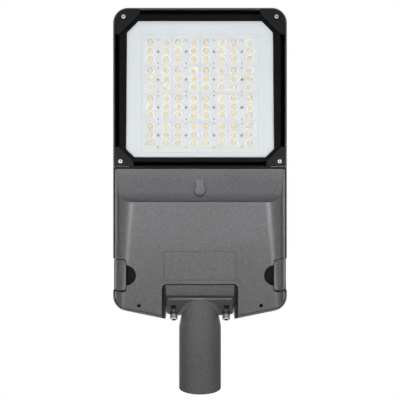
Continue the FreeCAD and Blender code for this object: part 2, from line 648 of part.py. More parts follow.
# Upper housing: one casting with the LED tray, the gear compartment and the round seat.
def make_housing():
    half = size("notch_half")
    outer = casting("housing_outer", 0,
                    plan(0, size("housing_front"), size("notch_housing"), half - size("notch_step"),
                         size("corner_round"), size("corner_round")))
    rim = size("gear_rim")
    gear = casting("gear_space", size("housing_wall"),
                   plan(rim, size("gear_front"), size("notch_cover") + rim, half + rim,
                        size("corner_round") - rim,
                        size("cavity_round")))
    pocket = prism("cover_pocket",
                   [plan(size("lip_wall"), size("bulkhead_rear"), size("notch_housing") - size("overlap"),
                                         half - size("overlap"), size("corner_round") - size("lip_wall"),
                                         size("overlap"))],
                   "XY", "rim_low - overlap", ledge)
    channel = box("hinge_channel", ("-housing_half_width + lip_wall", "housing_half_width - lip_wall"),
                  ("hinge_y - hinge_room", "bulkhead_rear"), ("cover_top", hinge_z + " + hinge_room"))
    gap = box("bulkhead_gap", ("-clamp_rear_x + clamp_reach", "clamp_rear_x - clamp_reach"),
              ("bulkhead_rear - overlap", "glass_rear"), ("rim_low - overlap", "bulkhead_low"))
    glass_pocket = prism("glass_pocket", [glass_outline(-size("glass_gap"))], "XY", "rim_low - overlap",
                         glass_seat)
    led = prism("led_space", [glass_outline(size("gasket_wide"))], "XY", "glass_low", board_high)
    attic = common("attic", [
        casting("attic_space", size("housing_wall"),
                plan(rim, size("attic_front"), size("notch_cover") + rim, half + rim,
                                                          size("corner_round") - rim,
                        size("cavity_round"))),
        box("attic_limits", ("-fin_half", "fin_half"), ("gear_front - attic_back", "attic_front"),
            ("attic_low", "roof_high")),
    ])
    tools = [gear, attic, pocket, channel, gap, glass_pocket, led]
    for label, sign, end in CLAMPS:
        tools.append(prism(label + "_seat", [clamp_outline(sign, end, size("clamp_play"))], "XY",
                           "rim_low - overlap", "glass_low"))
        tools.append(rod(label + "_hole", "clamp_screw + pin_fit", "clamp_deep + overlap",
                         [signed(sign, "clamp_%s_x" % end), "clamp_%s_y" % end, "glass_low - overlap / 2"]))
    count = int(2 * size("fin_half") / size("fin_pitch"))
    for i in range(count):
        middle = "fin_pitch * %.1f" % (i - (count - 1) / 2)
        wide = "(fin_pitch - fin_thick) / 2"
        tools.append(box("fin_valley_%d" % i, ("%s - %s" % (middle, wide), "%s + %s" % (middle, wide)),
                         ("fin_rear", "housing_front + beyond"),
                         (board_high + " + heat_floor", "roof_high + beyond")))
    for side, sign in SIDES:
        tools.append(box("latch_room_" + side,
                         span(sign, "latch_axis_x - latch_eye - latch_play",
                              "housing_half_width + overlap"),
                         ("latch_rear - latch_gap", "latch_front + latch_gap"),
                         ("rim_low - overlap", "latch_axis_z + housing_half_width - latch_axis_x")))
        tools.append(rod("latch_bore_" + side, "latch_pin + pin_fit",
                         "latch_front - latch_rear + 2 * latch_pin_end + 2 * overlap",
                         [signed(sign, "latch_axis_x"), "latch_rear - latch_pin_end - overlap",
                          "latch_axis_z"], (0, 1, 0)))
    for name, side, radius in (("gland_bore", "gland_x", "gland_hole"),
                               ("valve_bore", "-gland_x", "valve_hole")):
        tools.append(rod(name, radius + " + pin_fit", "attic_low - (%s) + 2 * overlap" % board_high,
                         [side, "gland_y", board_high + " - overlap"]))
    shell = cut("housing_shell", outer, tools)

    drum = rod("seat_drum", "seat_radius", "2 * seat_half", ["-seat_half", "tilt_y", "tilt_z"], (1, 0, 0))
    outer_side = prism("seat_side", [housing_side(0)], "YZ", "-seat_half", "seat_half")
    lower = box("seat_below", ("-seat_half", "seat_half"), ("0", "notch_cover - seat_step"),
                ("-beyond", "rim_low + overlap"))
    upper = box("seat_above", ("-seat_half", "seat_half"), ("0", "notch_cover - seat_step"),
                ("rim_low", "roof_high"))
    seat = common("seat_block",
                  [drum, fuse("seat_limits", [lower, common("seat_top", [outer_side, upper])])])
    shelves = []
    for side, sign in SIDES:
        shelves.append(box("latch_shelf_" + side,
                           span(sign, "latch_in - latch_gap - cover_wall - latch_shelf",
                                "latch_axis_x - latch_eye - latch_play"),
                           ("latch_rear - latch_swing_gap - cover_wall - latch_shelf",
                            "latch_front + latch_gap + cover_wall + latch_shelf"),
                           (ledge, ledge + " + gear_rim")))
    reach = box("seat_upper", ("-seat_half", "seat_half"), ("0", "housing_front"),
                (ledge, "roof_high - passage_roof"))
    throat = box("seat_lower", ("-seat_half", "seat_half"), ("0", "notch_cover - seat_step - seat_wall"),
                 ("-beyond", ledge))
    hollow = common("seat_hollow", [
        rod("seat_inner", "seat_radius - seat_wall", "2 * (seat_half - seat_wall)",
            ["-(seat_half - seat_wall)", "tilt_y", "tilt_z"], (1, 0, 0)),
        fuse("seat_passage", [reach, throat]),
    ])
    lead = rod("seat_lead", "lead_radius", "lead_long", ["0", "tilt_y - seat_radius - lead_long / 6", "0"],
               (0, 1, 0))
    bolts = [radial_rod("bolt_bore_" + side, signed(sign, "slot_x"), "bolt_angle", "bolt_radius + pin_fit",
                        "seat_radius - seat_wall - 2 * bolt_tail", "seat_radius") for side, sign in SIDES]
    lugs = []
    pins = []
    for side, sign in SIDES:
        for place in (-1, 1):
            shift = "hinge_eye_long / 2 + side_gap"
            low, high = (shift, shift + " + hinge_lug") if place > 0 else ("-(%s) - hinge_lug" % shift,
                                                                           "-(%s)" % shift)
            x = span(sign, "hinge_x + " + low, "hinge_x + " + high)
            name = "hinge_lug_%s_%s" % (side, "out" if place > 0 else "in")
            lugs.append(rod(name, "hinge_eye", "hinge_lug", [x[0], "hinge_y", hinge_z], (1, 0, 0)))
            lugs.append(box(name + "_web", x, ("hinge_y - hinge_eye", "hinge_y + hinge_eye"),
                            (hinge_z, hinge_z + " + hinge_web")))
        long = "hinge_eye_long + 2 * side_gap + 2 * hinge_lug"
        start = [signed(sign, "hinge_x") + " - (%s) / 2" % long, "hinge_y", hinge_z]
        pins.append(rod("hinge_bore_" + side, "hinge_pin + pin_fit", long, start, (1, 0, 0)))
        node(rod("hinge_rod_" + side, "hinge_pin", long, start, (1, 0, 0)), "hinge_pin_" + side)
        node(rod("latch_rod_" + side, "latch_pin", "latch_front - latch_rear + 2 * latch_pin_end",
                 [signed(sign, "latch_axis_x"), "latch_rear - latch_pin_end", "latch_axis_z"], (0, 1, 0)),
             "latch_pin_" + side)
    joined = fuse("housing_joined", [shell, seat] + shelves + lugs)
    node(cut("housing", joined, [hollow, lead] + bolts + pins), "upper_housing")


# Tilt bolts with their washers, standing on the saddle's round face.
def make_tilt_bolts():
    bolts = []
    washers = []
    top = "seat_radius + 2 * tilt_gap + saddle_thick"
    for side, sign in SIDES:
        x = signed(sign, "slot_x")
        ring = radial_rod("tilt_washer_" + side, x, "bolt_angle", "washer_radius", top, "washer_thick")
        hole = radial_rod("tilt_washer_hole_" + side, x, "bolt_angle", "bolt_radius + pin_fit",
                          top + " - overlap", "washer_thick + 2 * overlap")
        washers.append(cut("tilt_ring_" + side, ring, [hole]))
        head = radial_rod("tilt_head_" + side, x, "bolt_angle", "bolt_head", top + " + washer_thick",
                          "bolt_head_tall")
        socket = radial_rod("tilt_socket_" + side, x, "bolt_angle", "bolt_socket",
                            top + " + washer_thick + bolt_head_tall / 2", "bolt_head_tall")
        shank = radial_rod("tilt_shank_" + side, x, "bolt_angle", "bolt_radius",
                           "seat_radius - seat_wall - bolt_tail",
                           "seat_wall + bolt_tail + 2 * tilt_gap + saddle_thick + washer_thick + overlap")
        bolts.append(cut("tilt_bolt_" + side, fuse("tilt_bolt_solid_" + side, [head, shank]), [socket]))
    node(group("bolts", bolts), "tilt_bolts")
    node(group("washers", washers), "tilt_washers")


# Gear cover: a section that grows shallower to the rear, met by a coved front, with walls round the
# socket notch and the latches.
def cover_section(inset, y):
    share = (size("cover_crest") - y) / (size("cover_crest") - size("housing_rear"))
    shoulder = size("cover_shoulder") + share * (size("cover_shoulder_rear") - size("cover_shoulder"))
    half = size("housing_half_width") - size("lip_wall") - size("cover_gap")
    foot = half - size("cover_edge_flat")
    low = size("cover_edge_low")
    slope = size("cover_slope") / (low - size("cover_face"))
    inner = foot - inset * math.hypot(1, slope)
    face = size("cover_face") + size("cover_fall") * (size("cover_crest") - y) + inset
    top = size("cover_top")
    if inset == 0:
        edge = [(half, top), (half, low), (foot, low, size("cover_foot"))]
    else:
        above = top + 2 * size("cover_wall")
        edge = [(inner + (above - low) * slope, above)]
    return outline(mirrored(edge + [(inner - (low - face) * slope, face, shoulder - inset)]))


def wedge(name, inset):
    sections = []
    for end in ("housing_rear", "cover_front"):
        sketch = doc.addObject("Sketcher::SketchObject", "%s_%s" % (name, end))
        sketch.Placement = FreeCAD.Placement(FreeCAD.Vector(), PLANES["XZ"][0])
        sketch.addGeometry(cover_section(inset, size(end)), False)
        sketch.setExpression("Placement.Base.y", sized(end))
        sections.append(sketch)
    solid = doc.addObject("Part::Loft", name)
    solid.Sections = sections
    solid.Solid = True
    solid.Ruled = True
    return solid


# The cove is two tangent arcs, flat at the cover's front edge and steep at its crest.
def cover_side(inset):
    run = size("cover_front") - size("cover_crest")
    drop = size("cover_edge_low") - size("cover_face")
    lean = math.degrees(math.atan2(drop, run))
    flat = lean * size("cove_flat_turn")
    full = lean + (90 - lean) * size("cove_turn")
    wide = sin(full) - sin(flat)
    tall = cos(flat) - cos(full)
    share = sin(flat) * tall - wide * (1 - cos(flat))
    first = (run * tall - drop * wide) / share
    second = (sin(flat) * drop - (1 - cos(flat)) * run) / share
    centre = (size("cover_front"), size("cover_edge_low") - first)
    inner = (centre[0] - (first - second) * sin(flat), centre[1] + (first - second) * cos(flat))

    def spot(middle, radius, turn):
        return FreeCAD.Vector(middle[0] - radius * sin(turn), middle[1] + radius * cos(turn), 0)
    tip = spot(centre, first + inset, 0)
    bend = spot(centre, first + inset, flat)
    crest = spot(inner, second + inset, full)
    below = 2 * size("cover_face")
    top = size("cover_top") + 2 * inset
    corners = [FreeCAD.Vector(crest.x, below, 0), FreeCAD.Vector(size("housing_rear"), below, 0),
               FreeCAD.Vector(size("housing_rear"), top, 0), FreeCAD.Vector(tip.x, top, 0), tip]
    edges = [Part.Arc(tip, spot(centre, first + inset, flat / 2), bend),
             Part.Arc(bend, spot(inner, second + inset, (flat + full) / 2), crest)]
    before = crest
    for corner in corners:
        if corner.distanceToPoint(before) > 1e-6:
            edges.append(Part.LineSegment(before, corner))
        before = corner
    return edges


def tub(name, inset, plan_loop):
    side = prism(name + "_side", [cover_side(inset)], "YZ", "-housing_half_width", "housing_half_width")
    floor = prism(name + "_plan", [plan_loop], "XY", "2 * cover_face", "cover_top + beyond")
    return common(name, [wedge(name + "_wedge", inset), side, floor])


# Plan of a latch tab or its opening: from beyond the casting's side to a rounded inner edge.
def latch_plan(sign, rear_gap, front_gap, inner_gap):
    outer = size("housing_half_width") + size("latch_reach")
    inner = size("latch_in") - inner_gap
    rear = size("latch_rear") - rear_gap
    front = size("latch_front") + front_gap
    corner = size("latch_round") + inner_gap
    return outline([(sign * outer, rear), (sign * inner, rear, corner), (sign * inner, front, corner),
                    (sign * outer, front)])


def make_cover():
    edge = size("lip_wall") + size("cover_gap")
    half = size("notch_half")
    wall = size("cover_wall")
    corner = size("corner_round") - edge
    outer_plan = plan(edge, size("cover_front"), size("notch_cover"), half, corner, size("cover_round"))
    inner_plan = plan(edge + wall, size("cover_front") + size("beyond"), size("notch_cover") + wall,
                      half + wall, corner - wall,
                      size("cover_round"))
    shell = cut("cover_shell", tub("cover_outer", 0, outer_plan), [tub("cover_inner", wall, inner_plan)])
    grown = []
    hinge = []
    tools = []
    swing = size("latch_swing_gap")
    gap = size("latch_gap")
    for side, sign in SIDES:
        grown.append(prism("latch_wall_" + side, [latch_plan(sign, swing + wall, gap + wall, gap + wall)],
                           "XY", "2 * cover_face", "cover_top"))
        tools.append(prism("latch_notch_" + side, [latch_plan(sign, swing, gap, gap)], "XY",
                           "2 * cover_face", "cover_top + cover_wall"))
        x = signed(sign, "latch_in")
        grown.append(rod("finger_wall_" + side, "finger_radius + cover_wall",
                         "finger_level + cover_wall - cover_face",
                         [x, "finger_y", "cover_face"]))
        tools.append(rod("finger_dish_" + side, "finger_radius", "finger_level - 2 * cover_face",
                         [x, "finger_y", "2 * cover_face"]))
        tools.append(rod("drain_" + side, "drain_radius", "cover_edge_low - cover_face",
                         [signed(sign, "drain_x"), "drain_y", "cover_face"]))
        eye = [signed(sign, "hinge_x") + " - hinge_eye_long / 2", "hinge_y", hinge_z]
        hinge.append(rod("cover_eye_" + side, "hinge_eye", "hinge_eye_long", eye, (1, 0, 0)))
        hinge.append(box("cover_arm_" + side, (eye[0], eye[0] + " + hinge_eye_long"),
                         ("hinge_y - hinge_eye", "hinge_y + hinge_eye"),
                         ("(cover_edge_low + cover_top) / 2", hinge_z)))
        tools.append(rod("cover_bore_" + side, "hinge_pin + pin_fit", "hinge_eye_long + 2 * side_gap",
                         [eye[0] + " - side_gap", "hinge_y", hinge_z], (1, 0, 0)))
    grown.append(rod("boss_wall", "boss_radius + cover_wall", "cover_top - cover_face",
                     ["0", "boss_y", "cover_face"]))
    grown.append(box("boss_end", ("-boss_radius - cover_wall", "boss_radius + cover_wall"),
                     ("boss_y", "boss_y + boss_long + cover_wall"), ("cover_face", "cover_top")))
    grown.append(box("seal_rib", ("-housing_half_width + gear_rim", "housing_half_width - gear_rim"),
                     ("gear_front + seal_wide / 2 - cover_wall / 2",
                      "gear_front + seal_wide / 2 + cover_wall / 2"),
                     ("cover_face", "cover_top")))
    inside = common("cover_inside", [tub("cover_limits", 0, outer_plan), fuse("cover_grown", grown)])
    tools.append(make_dimple())
    plate = prism("bare_plate", [rectangle(-size("plate_half"), size("plate_half"), size("plate_rear"),
                                           size("plate_front"), size("plate_round"))], "XY",
                  "2 * cover_face", "cover_edge_low")
    tools.append(cut("bare_recess", plate, [wedge("bare_floor", size("plate_recess"))]))
    node(cut("cover", fuse("cover_solid", [shell, inside] + hinge), tools), "gear_cover")


# Drop-shaped dimple in the cove, with a slotted tongue left standing at its narrow end.
def make_dimple():
    round_end = rod("dimple_round", "boss_radius", "boss_level - cover_face", ["0", "boss_y", "cover_face"])
    wide = size("boss_radius")
    end = size("boss_y") + size("boss_long")
    loop = outline([(-wide, size("boss_y")), (wide, size("boss_y")), (size("boss_top"), end),
                    (-size("boss_top"), end)])
    narrow = prism("dimple_narrow", [loop], "XY", "cover_face", "boss_level")
    y = ("boss_y + tongue_on", "boss_y + tongue_on + tongue_long")
    tongue = box("dimple_tongue", ("-tongue_half", "tongue_half"), y, ("tongue_low", "boss_level"))
    slot = box("dimple_slot", ("-tongue_slot / 2", "tongue_slot / 2"), y, ("tongue_low", "boss_level"))
    return cut("dimple", fuse("dimple_solid", [round_end, narrow]), [cut("dimple_bars", tongue, [slot])])


# Side latches: a tab flush with the cover's side, hung on a pin under the casting's edge.
def make_latches():
    foot = size("housing_half_width") - size("lip_wall") - size("cover_gap") - size("cover_edge_flat")
    outside = size("housing_half_width") - size("latch_inset")
    inside = size("latch_axis_x") - size("latch_eye")
    axis_z = size("latch_axis_z")
    low = size("cover_edge_low")
    arm = [(outside, axis_z), (outside, low, size("latch_thick")), (foot, low), (foot, size("cover_top")),
           (inside, size("cover_top")), (inside, axis_z)]
    for side, sign in SIDES:
        tab = common("latch_tab_" + side, [
            wedge("latch_outer_" + side, 0),
            prism("latch_plan_" + side, [latch_plan(sign, 0, 0, 0)], "XY", "2 * cover_face", "cover_top"),
        ])
        skin = cut("latch_skin_" + side, tab, [wedge("latch_inner_" + side, size("latch_thick"))])
        hook = prism("latch_arm_" + side, [outline([(sign * v[0],) + tuple(v[1:]) for v in arm])], "XZ",
                     "latch_rear", "latch_front")
        where = [signed(sign, "latch_axis_x"), "latch_rear", "latch_axis_z"]
        eye = rod("latch_eye_" + side, "latch_eye", "latch_front - latch_rear", where, (0, 1, 0))
        bore = rod("latch_hole_" + side, "latch_pin + pin_fit", "latch_front - latch_rear", where,
                   (0, 1, 0))
        node(cut("latch_" + side, fuse("latch_solid_" + side, [skin, hook, eye]), [bore]),
             "latch_" + side + "_lever")


# Glass, its gasket and its clamps.
def make_glass():
    node(flat_body("glass", [glass_outline(0)], "glass_low", "glass_thick"), "front_glass")
    node(flat_body("glass_seal", [glass_outline(0), glass_outline(size("gasket_wide"))],
                   "glass_low + glass_thick", "gasket_thick"), "glass_gasket")
    screws = []
    for label, sign, end in CLAMPS:
        x = size("clamp_%s_x" % end)
        y = size("clamp_%s_y" % end)
        hole = circle(sign * x, y, size("clamp_screw") + size("pin_fit"))
        node(flat_body(label + "_body", [clamp_outline(sign, end, 0), hole], "glass_low - clamp_thick",
                       "clamp_thick"), label)
        where = [signed(sign, "clamp_%s_x" % end), "clamp_%s_y" % end]
        shank = rod(label + "_shank", "clamp_screw", "clamp_thick + clamp_deep",
                    where + ["glass_low - clamp_thick"])
        head = rod(label + "_head", "clamp_head", "head_tall",
                   where + ["glass_low - clamp_thick - head_tall"])
        screws.append(fuse(label + "_screw", [shank, head]))
    node(group("glass_screws", screws), "clamp_screws")


# Light field: boards, chips, lens plates and their screws, and the folded sheet round them.
def make_light_field():
    wide = size("module_wide")
    long = size("module_long")
    gap = size("module_gap")
    middle = size("grid_centre")
    rim = size("gasket_wide") + size("sheet_thick")

    def field_loop(grow):
        return rectangle(-2 * wide - grow, 2 * wide + grow, middle - 2 * long - grow,
                         middle + 2 * long + grow)
    hole = gap
    fold = gap + size("sheet_thick")
    front = "board_low - lens_base"
    folds = [prism("sheet_face", [glass_outline(rim), field_loop(hole)], "XY", front,
                   front + " + sheet_thick"),
             prism("sheet_inner_fold", [field_loop(fold), field_loop(hole)], "XY", front, board_high),
             prism("sheet_outer_fold", [glass_outline(rim), glass_outline(rim + size("sheet_thick"))], "XY",
                   front, board_high)]
    node(fuse("reflector", folds), "reflector_sheet")
    for column in range(4):
        loop = rectangle((column - 2) * wide + gap / 2, (column - 1) * wide - gap / 2, middle - 2 * long,
                         middle + 2 * long)
        node(flat_body("board_%d" % (column + 1), [loop], "board_low", "board_thick"),
             "led_board_%d" % (column + 1))

    base = make_lens_plate((wide - gap) / 2, (long - gap) / 2)
    chips = []
    screws = []
    for row in range(4):
        for column in range(4):
            x = "module_wide * %.1f" % (column - 1.5)
            y = "grid_centre + module_long * %.1f" % (row - 1.5)
            plate = doc.addObject("Part::Feature", "lens_%d_%d" % (row + 1, column + 1))
            plate.Shape = base.Shape
            settle(plate, [x, y, "board_low"])
            node(plate, "lens_plate_%d_%d" % (row + 1, column + 1))
            for i, j in LENSES:
                across = "%s + lens_pitch_x * %.1f" % (x, i)
                along = "%s + lens_pitch_y * %d" % (y, j)
                chips.append(box("chip_%d_%d_%d_%d" % (row, column, 2 * i, j),
                                 (across + " - chip_side / 2", across + " + chip_side / 2"),
                                 (along + " - chip_long / 2", along + " + chip_long / 2"),
                                 ("board_low - chip_thick", "board_low")))
            seat = "board_low - lens_base + seat_deep"
            shank = rod("plate_shank_%d_%d" % (row, column), "screw_radius", "board_low - (%s)" % seat,
                        [x, y, seat])
            head = rod("plate_head_%d_%d" % (row, column), "screw_head", "head_tall",
                       [x, y, seat + " - head_tall"])
            screws.append(fuse("plate_screw_%d_%d" % (row, column), [shank, head]))
    node(group("chips", chips), "led_chips")
    node(group("plate_screws", screws), "lens_screws")


# Places of a plate's six lenses, in lens pitches from its middle.
LENSES = [(i, j) for i in (-0.5, 0.5) for j in (-1, 0, 1)]

# A lens from foot to top: shares of its radius and its height at each end of a step.
LENS_STEPS = [(1.0, 0.0, 0.92, 0.4), (0.92, 0.4, 0.64, 0.8), (0.64, 0.8, 0.24, 1.0)]


# One lens plate, hollow behind, with faceted lenses, a seat for its screw and two pin holes.
def make_lens_plate(half_x, half_y):
    rim = size("lens_rim")
    plate = prism("lens_base", [rectangle(-half_x, half_x, -half_y, half_y, rim)], "XY", "-lens_base", "0")
    post = rectangle(-half_x + rim, half_x - rim, -half_y + rim, half_y - rim)
    tools = [
        prism("lens_hollow", [post, circle(0, 0, size("seat_wide") + rim / 2)], "XY", "-lens_recess", "0"),
        rod("lens_seat", "seat_wide", "seat_deep", ["0", "0", "-lens_base"]),
        rod("lens_bore", "screw_radius + pin_fit", "lens_base", ["0", "0", "-lens_base"]),
    ]
    for place in (-1, 1):
        tools.append(rod("lens_pin_%d" % place, "lens_hole", "lens_base",
                         ["0", "%d * lens_hole_share * module_long" % place, "-lens_base"]))
    domes = []
    for i, j in LENSES:
        for k, (foot, low, top, high) in enumerate(LENS_STEPS):
            step = doc.addObject("Part::Cone", "lens_step_%d_%d_%d" % (2 * i, j, k))
            step.setExpression("Radius1", sized("lens_radius * %.2f" % top))
            step.setExpression("Radius2", sized("lens_radius * %.2f" % foot))
            step.setExpression("Height", sized("lens_tall * %.2f" % (high - low)))
            domes.append(settle(step, ["lens_pitch_x * %.1f" % i, "lens_pitch_y * %d" % j,
                                       "-lens_base - lens_tall * %.2f" % high]))
    whole = fuse("lens_whole", [cut("lens_plate", plate, tools)] + domes)
    doc.recompute()
    return whole


# Gear inside the compartment, on a tray hung from the roof.
def make_gear():
    roof = "roof_high - housing_wall"
    tray_top = "tray_high + 2 * sheet_thick"
    tray = box("tray_plate", ("-tray_half", "tray_half"), ("tray_rear", "tray_front"),
               ("tray_high", tray_top))
    posts = [rod("tray_post_%d%d" % (i, j), "tray_post", "%s - tray_high" % roof,
                 ["%d * (tray_half - 2 * tray_post)" % i, y, "tray_high"])
             for i in (-1, 1) for j,
             y in enumerate(("tray_rear + 2 * tray_post", "tray_front - 2 * tray_post"))]
    half_w = size("driver_wide") / 2
    half_l = size("driver_long") / 2
    centre = (size("tray_rear") + size("tray_front")) / 2
    x = size("driver_x")
    case = prism("driver_case",
                 [rectangle(x - half_w, x + half_w, centre - half_l, centre + half_l,
                            size("driver_round"))],
                 "XY", "tray_high - driver_tall", "tray_high")
    ear = half_l + size("flange_long")
    ears = prism("driver_ears",
                 [rectangle(x - half_w / 2, x + half_w / 2, centre - ear, centre + ear, size("ear_round"))],
                 "XY", "tray_high - flange_thick", "tray_high")
    block_front = "tray_rear + gear_clear + block_long"
    bar_y = block_front + " + cord_clamp_on"
    fixings = {"driver_screws": [], "cable_clamp_screws": []}
    for i in (-1, 1):
        ear_y = "(tray_rear + tray_front) / 2 + %d * (driver_long + flange_long) / 2" % i
        fixings["driver_screws"].append(("driver_x", ear_y, "flange_thick"))
        fixings["cable_clamp_screws"].append(("side_x + %d * cord_clamp_long / 3" % i, bar_y,
                                              "cord_clamp_tall"))
    holes = []
    for label, spots in fixings.items():
        screws = []
        for i, (across, along, thick) in enumerate(spots):
            under = "tray_high - " + thick
            holes.append(rod("%s_hole_%d" % (label, i), "screw_radius + pin_fit",
                             thick + " + 2 * sheet_thick", [across, along, under]))
            shank = rod("%s_shank_%d" % (label, i), "screw_radius", thick + " + 2 * sheet_thick",
                        [across, along, under])
            head = rod("%s_head_%d" % (label, i), "screw_head", "head_tall",
                       [across, along, under + " - head_tall"])
            screws.append(fuse("%s_%d" % (label, i), [shank, head]))
        node(group(label + "_set", screws), label)
    node(cut("tray", fuse("tray_solid", [tray] + posts), holes), "gear_tray")
    node(cut("driver", fuse("driver_solid", [case, ears]), holes[:2]), "led_driver")
    bar = box("clamp_bar", ("side_x - cord_clamp_long / 2", "side_x + cord_clamp_long / 2"),
              (bar_y + " - cord_clamp_wide / 2", bar_y + " + cord_clamp_wide / 2"),
              ("tray_high - cord_clamp_tall", "tray_high"))
    groove = rod("clamp_groove", "cord_clamp_tall / 2", "cord_clamp_wide",
                 ["side_x", bar_y + " - cord_clamp_wide / 2", "tray_high - cord_clamp_tall"], (0, 1, 0))
    node(cut("cord_clamp", bar, holes[2:] + [groove]), "cable_clamp")
    node(box("protector", ("side_x - spd_wide / 2", "side_x + spd_wide / 2"),
             ("tray_front - gear_clear - spd_long", "tray_front - gear_clear"),
             ("tray_high - spd_tall", "tray_high")), "surge_protector")
    block = box("block", ("side_x - block_wide / 2", "side_x + block_wide / 2"),
                ("tray_rear + gear_clear", block_front),
                ("tray_high - block_tall", "tray_high"))
    ways = []
    for i in (-1, 0, 1):
        way = "side_x + %d * block_wide / 3.5" % i
        ways.append(box("block_way_%d" % i, (way + " - block_wide / 10", way + " + block_wide / 10"),
                        ("tray_rear", "tray_rear + gear_clear + block_long * 0.4"),
                        ("tray_high - block_tall * 0.7", "tray_high - block_tall * 0.3")))
    node(cut("terminals", block, ways), "terminal_block")
    for label, side, cap, hole in (("lead_gland", "gland_x", "gland_radius", "gland_hole"),
                                   ("breather_valve", "-gland_x", "valve_radius", "valve_hole")):
        body = rod(label + "_cap", cap, "gland_tall", [side, "gland_y", "attic_low"])
        thread = rod(label + "_thread", hole, "attic_low - (%s)" % board_high,
                     [side, "gland_y", board_high])
        node(fuse(label + "_solid", [body, thread]), label)


# Gear gasket: a ring on the casting's ledge that steps in round the latches.
def make_gear_seal():
    rings = []
    for name, inset, clear in (("seal_outer", size("gear_rim") - size("seal_wide"), "0"),
                               ("seal_inner", size("gear_rim"), "cover_wall")):
        grow = size("gear_rim") - inset
        loop = plan(inset, size("gear_front") + grow, size("notch_cover") + inset,
                    size("notch_half") + inset,
                    size("corner_round") - inset, size("cavity_round") + grow)
        ring = prism(name, [loop], "XY", "cover_top + seal_gap", ledge)
        notches = [box("%s_%s" % (name, side),
                       span(sign, "latch_in - latch_gap - " + clear, "housing_half_width"),
                       ("latch_rear - latch_swing_gap - " + clear, "latch_front + latch_gap + " + clear),
                       ("cover_face", "0"))
                   for side, sign in SIDES]
        rings.append(cut(name + "_ring", ring, notches))
    node(cut("gear_seal", rings[0], [rings[1]]), "gear_gasket")


make_socket()
make_housing()
make_tilt_bolts()
make_cover()
make_latches()
make_glass()
make_light_field()
make_gear()
make_gear_seal()
doc.recompute()

for thing in doc.Objects:
    if "Invalid" in thing.State or "Error" in thing.State:
        raise RuntimeError("failed: %s %s" % (thing.Name, thing.State))
os.makedirs("parts", exist_ok=True)
for thing, label in pieces:
    shape = thing.Shape
    if shape.isNull() or not shape.isValid():
        raise RuntimeError("bad shape: " + label)
    shape.exportStep("parts/%s.step" % label)
    print(label, len(shape.Solids), round(shape.Volume / 1000, 1))
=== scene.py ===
import bpy
import math
import numpy as np
from mathutils import Matrix, Vector


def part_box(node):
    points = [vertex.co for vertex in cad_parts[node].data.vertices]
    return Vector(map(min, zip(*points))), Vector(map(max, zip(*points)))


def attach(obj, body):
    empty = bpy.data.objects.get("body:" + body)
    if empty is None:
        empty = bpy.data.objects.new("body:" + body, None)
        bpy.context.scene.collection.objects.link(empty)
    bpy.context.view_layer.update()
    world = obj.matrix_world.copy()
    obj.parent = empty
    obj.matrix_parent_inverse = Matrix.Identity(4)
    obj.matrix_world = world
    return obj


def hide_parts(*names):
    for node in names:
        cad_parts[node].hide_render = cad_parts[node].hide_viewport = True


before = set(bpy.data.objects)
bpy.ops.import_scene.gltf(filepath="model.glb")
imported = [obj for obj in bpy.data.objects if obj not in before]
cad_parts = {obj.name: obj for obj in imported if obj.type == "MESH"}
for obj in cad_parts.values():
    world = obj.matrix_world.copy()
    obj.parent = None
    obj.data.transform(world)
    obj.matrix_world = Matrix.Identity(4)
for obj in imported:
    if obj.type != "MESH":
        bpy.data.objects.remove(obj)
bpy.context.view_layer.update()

mm = 0.001


# shader helpers
class Wire:
    # a shader socket that behaves as a number: every operator adds one Math node
    def __init__(self, finish, socket):
        self.finish = finish
        self.socket = socket

    def combine(self, operation, first, second):
        return self.finish.add("Math", {"operation": operation}, {0: first, 1: second})

    def __add__(self, other):
        return self.combine("ADD", self, other)

    def __radd__(self, other):
        return self.combine("ADD", other, self)

    def __sub__(self, other):
        return self.combine("SUBTRACT", self, other)

    def __rsub__(self, other):
        return self.combine("SUBTRACT", other, self)

    def __mul__(self, other):
        return self.combine("MULTIPLY", self, other)

    def __rmul__(self, other):
        return self.combine("MULTIPLY", other, self)

    def __truediv__(self, other):
        return self.combine("DIVIDE", self, other)

    def __rtruediv__(self, other):
        return self.combine("DIVIDE", other, self)

    def __pow__(self, other):
        return self.combine("POWER", self, other)

    def size(self):
        return self.combine("ABSOLUTE", self, 0.0)

    def top(self, other):
        return self.combine("MAXIMUM", self, other)

    def clip(self):
        return self.finish.add("Clamp", {}, {0: self})

    def ramp(self, low, high, start=0.0, end=1.0):
        limits = {0: self, 1: low, 2: high, 3: start, 4: end}
        return self.finish.add("MapRange", {"interpolation_type": "SMOOTHSTEP"}, limits)


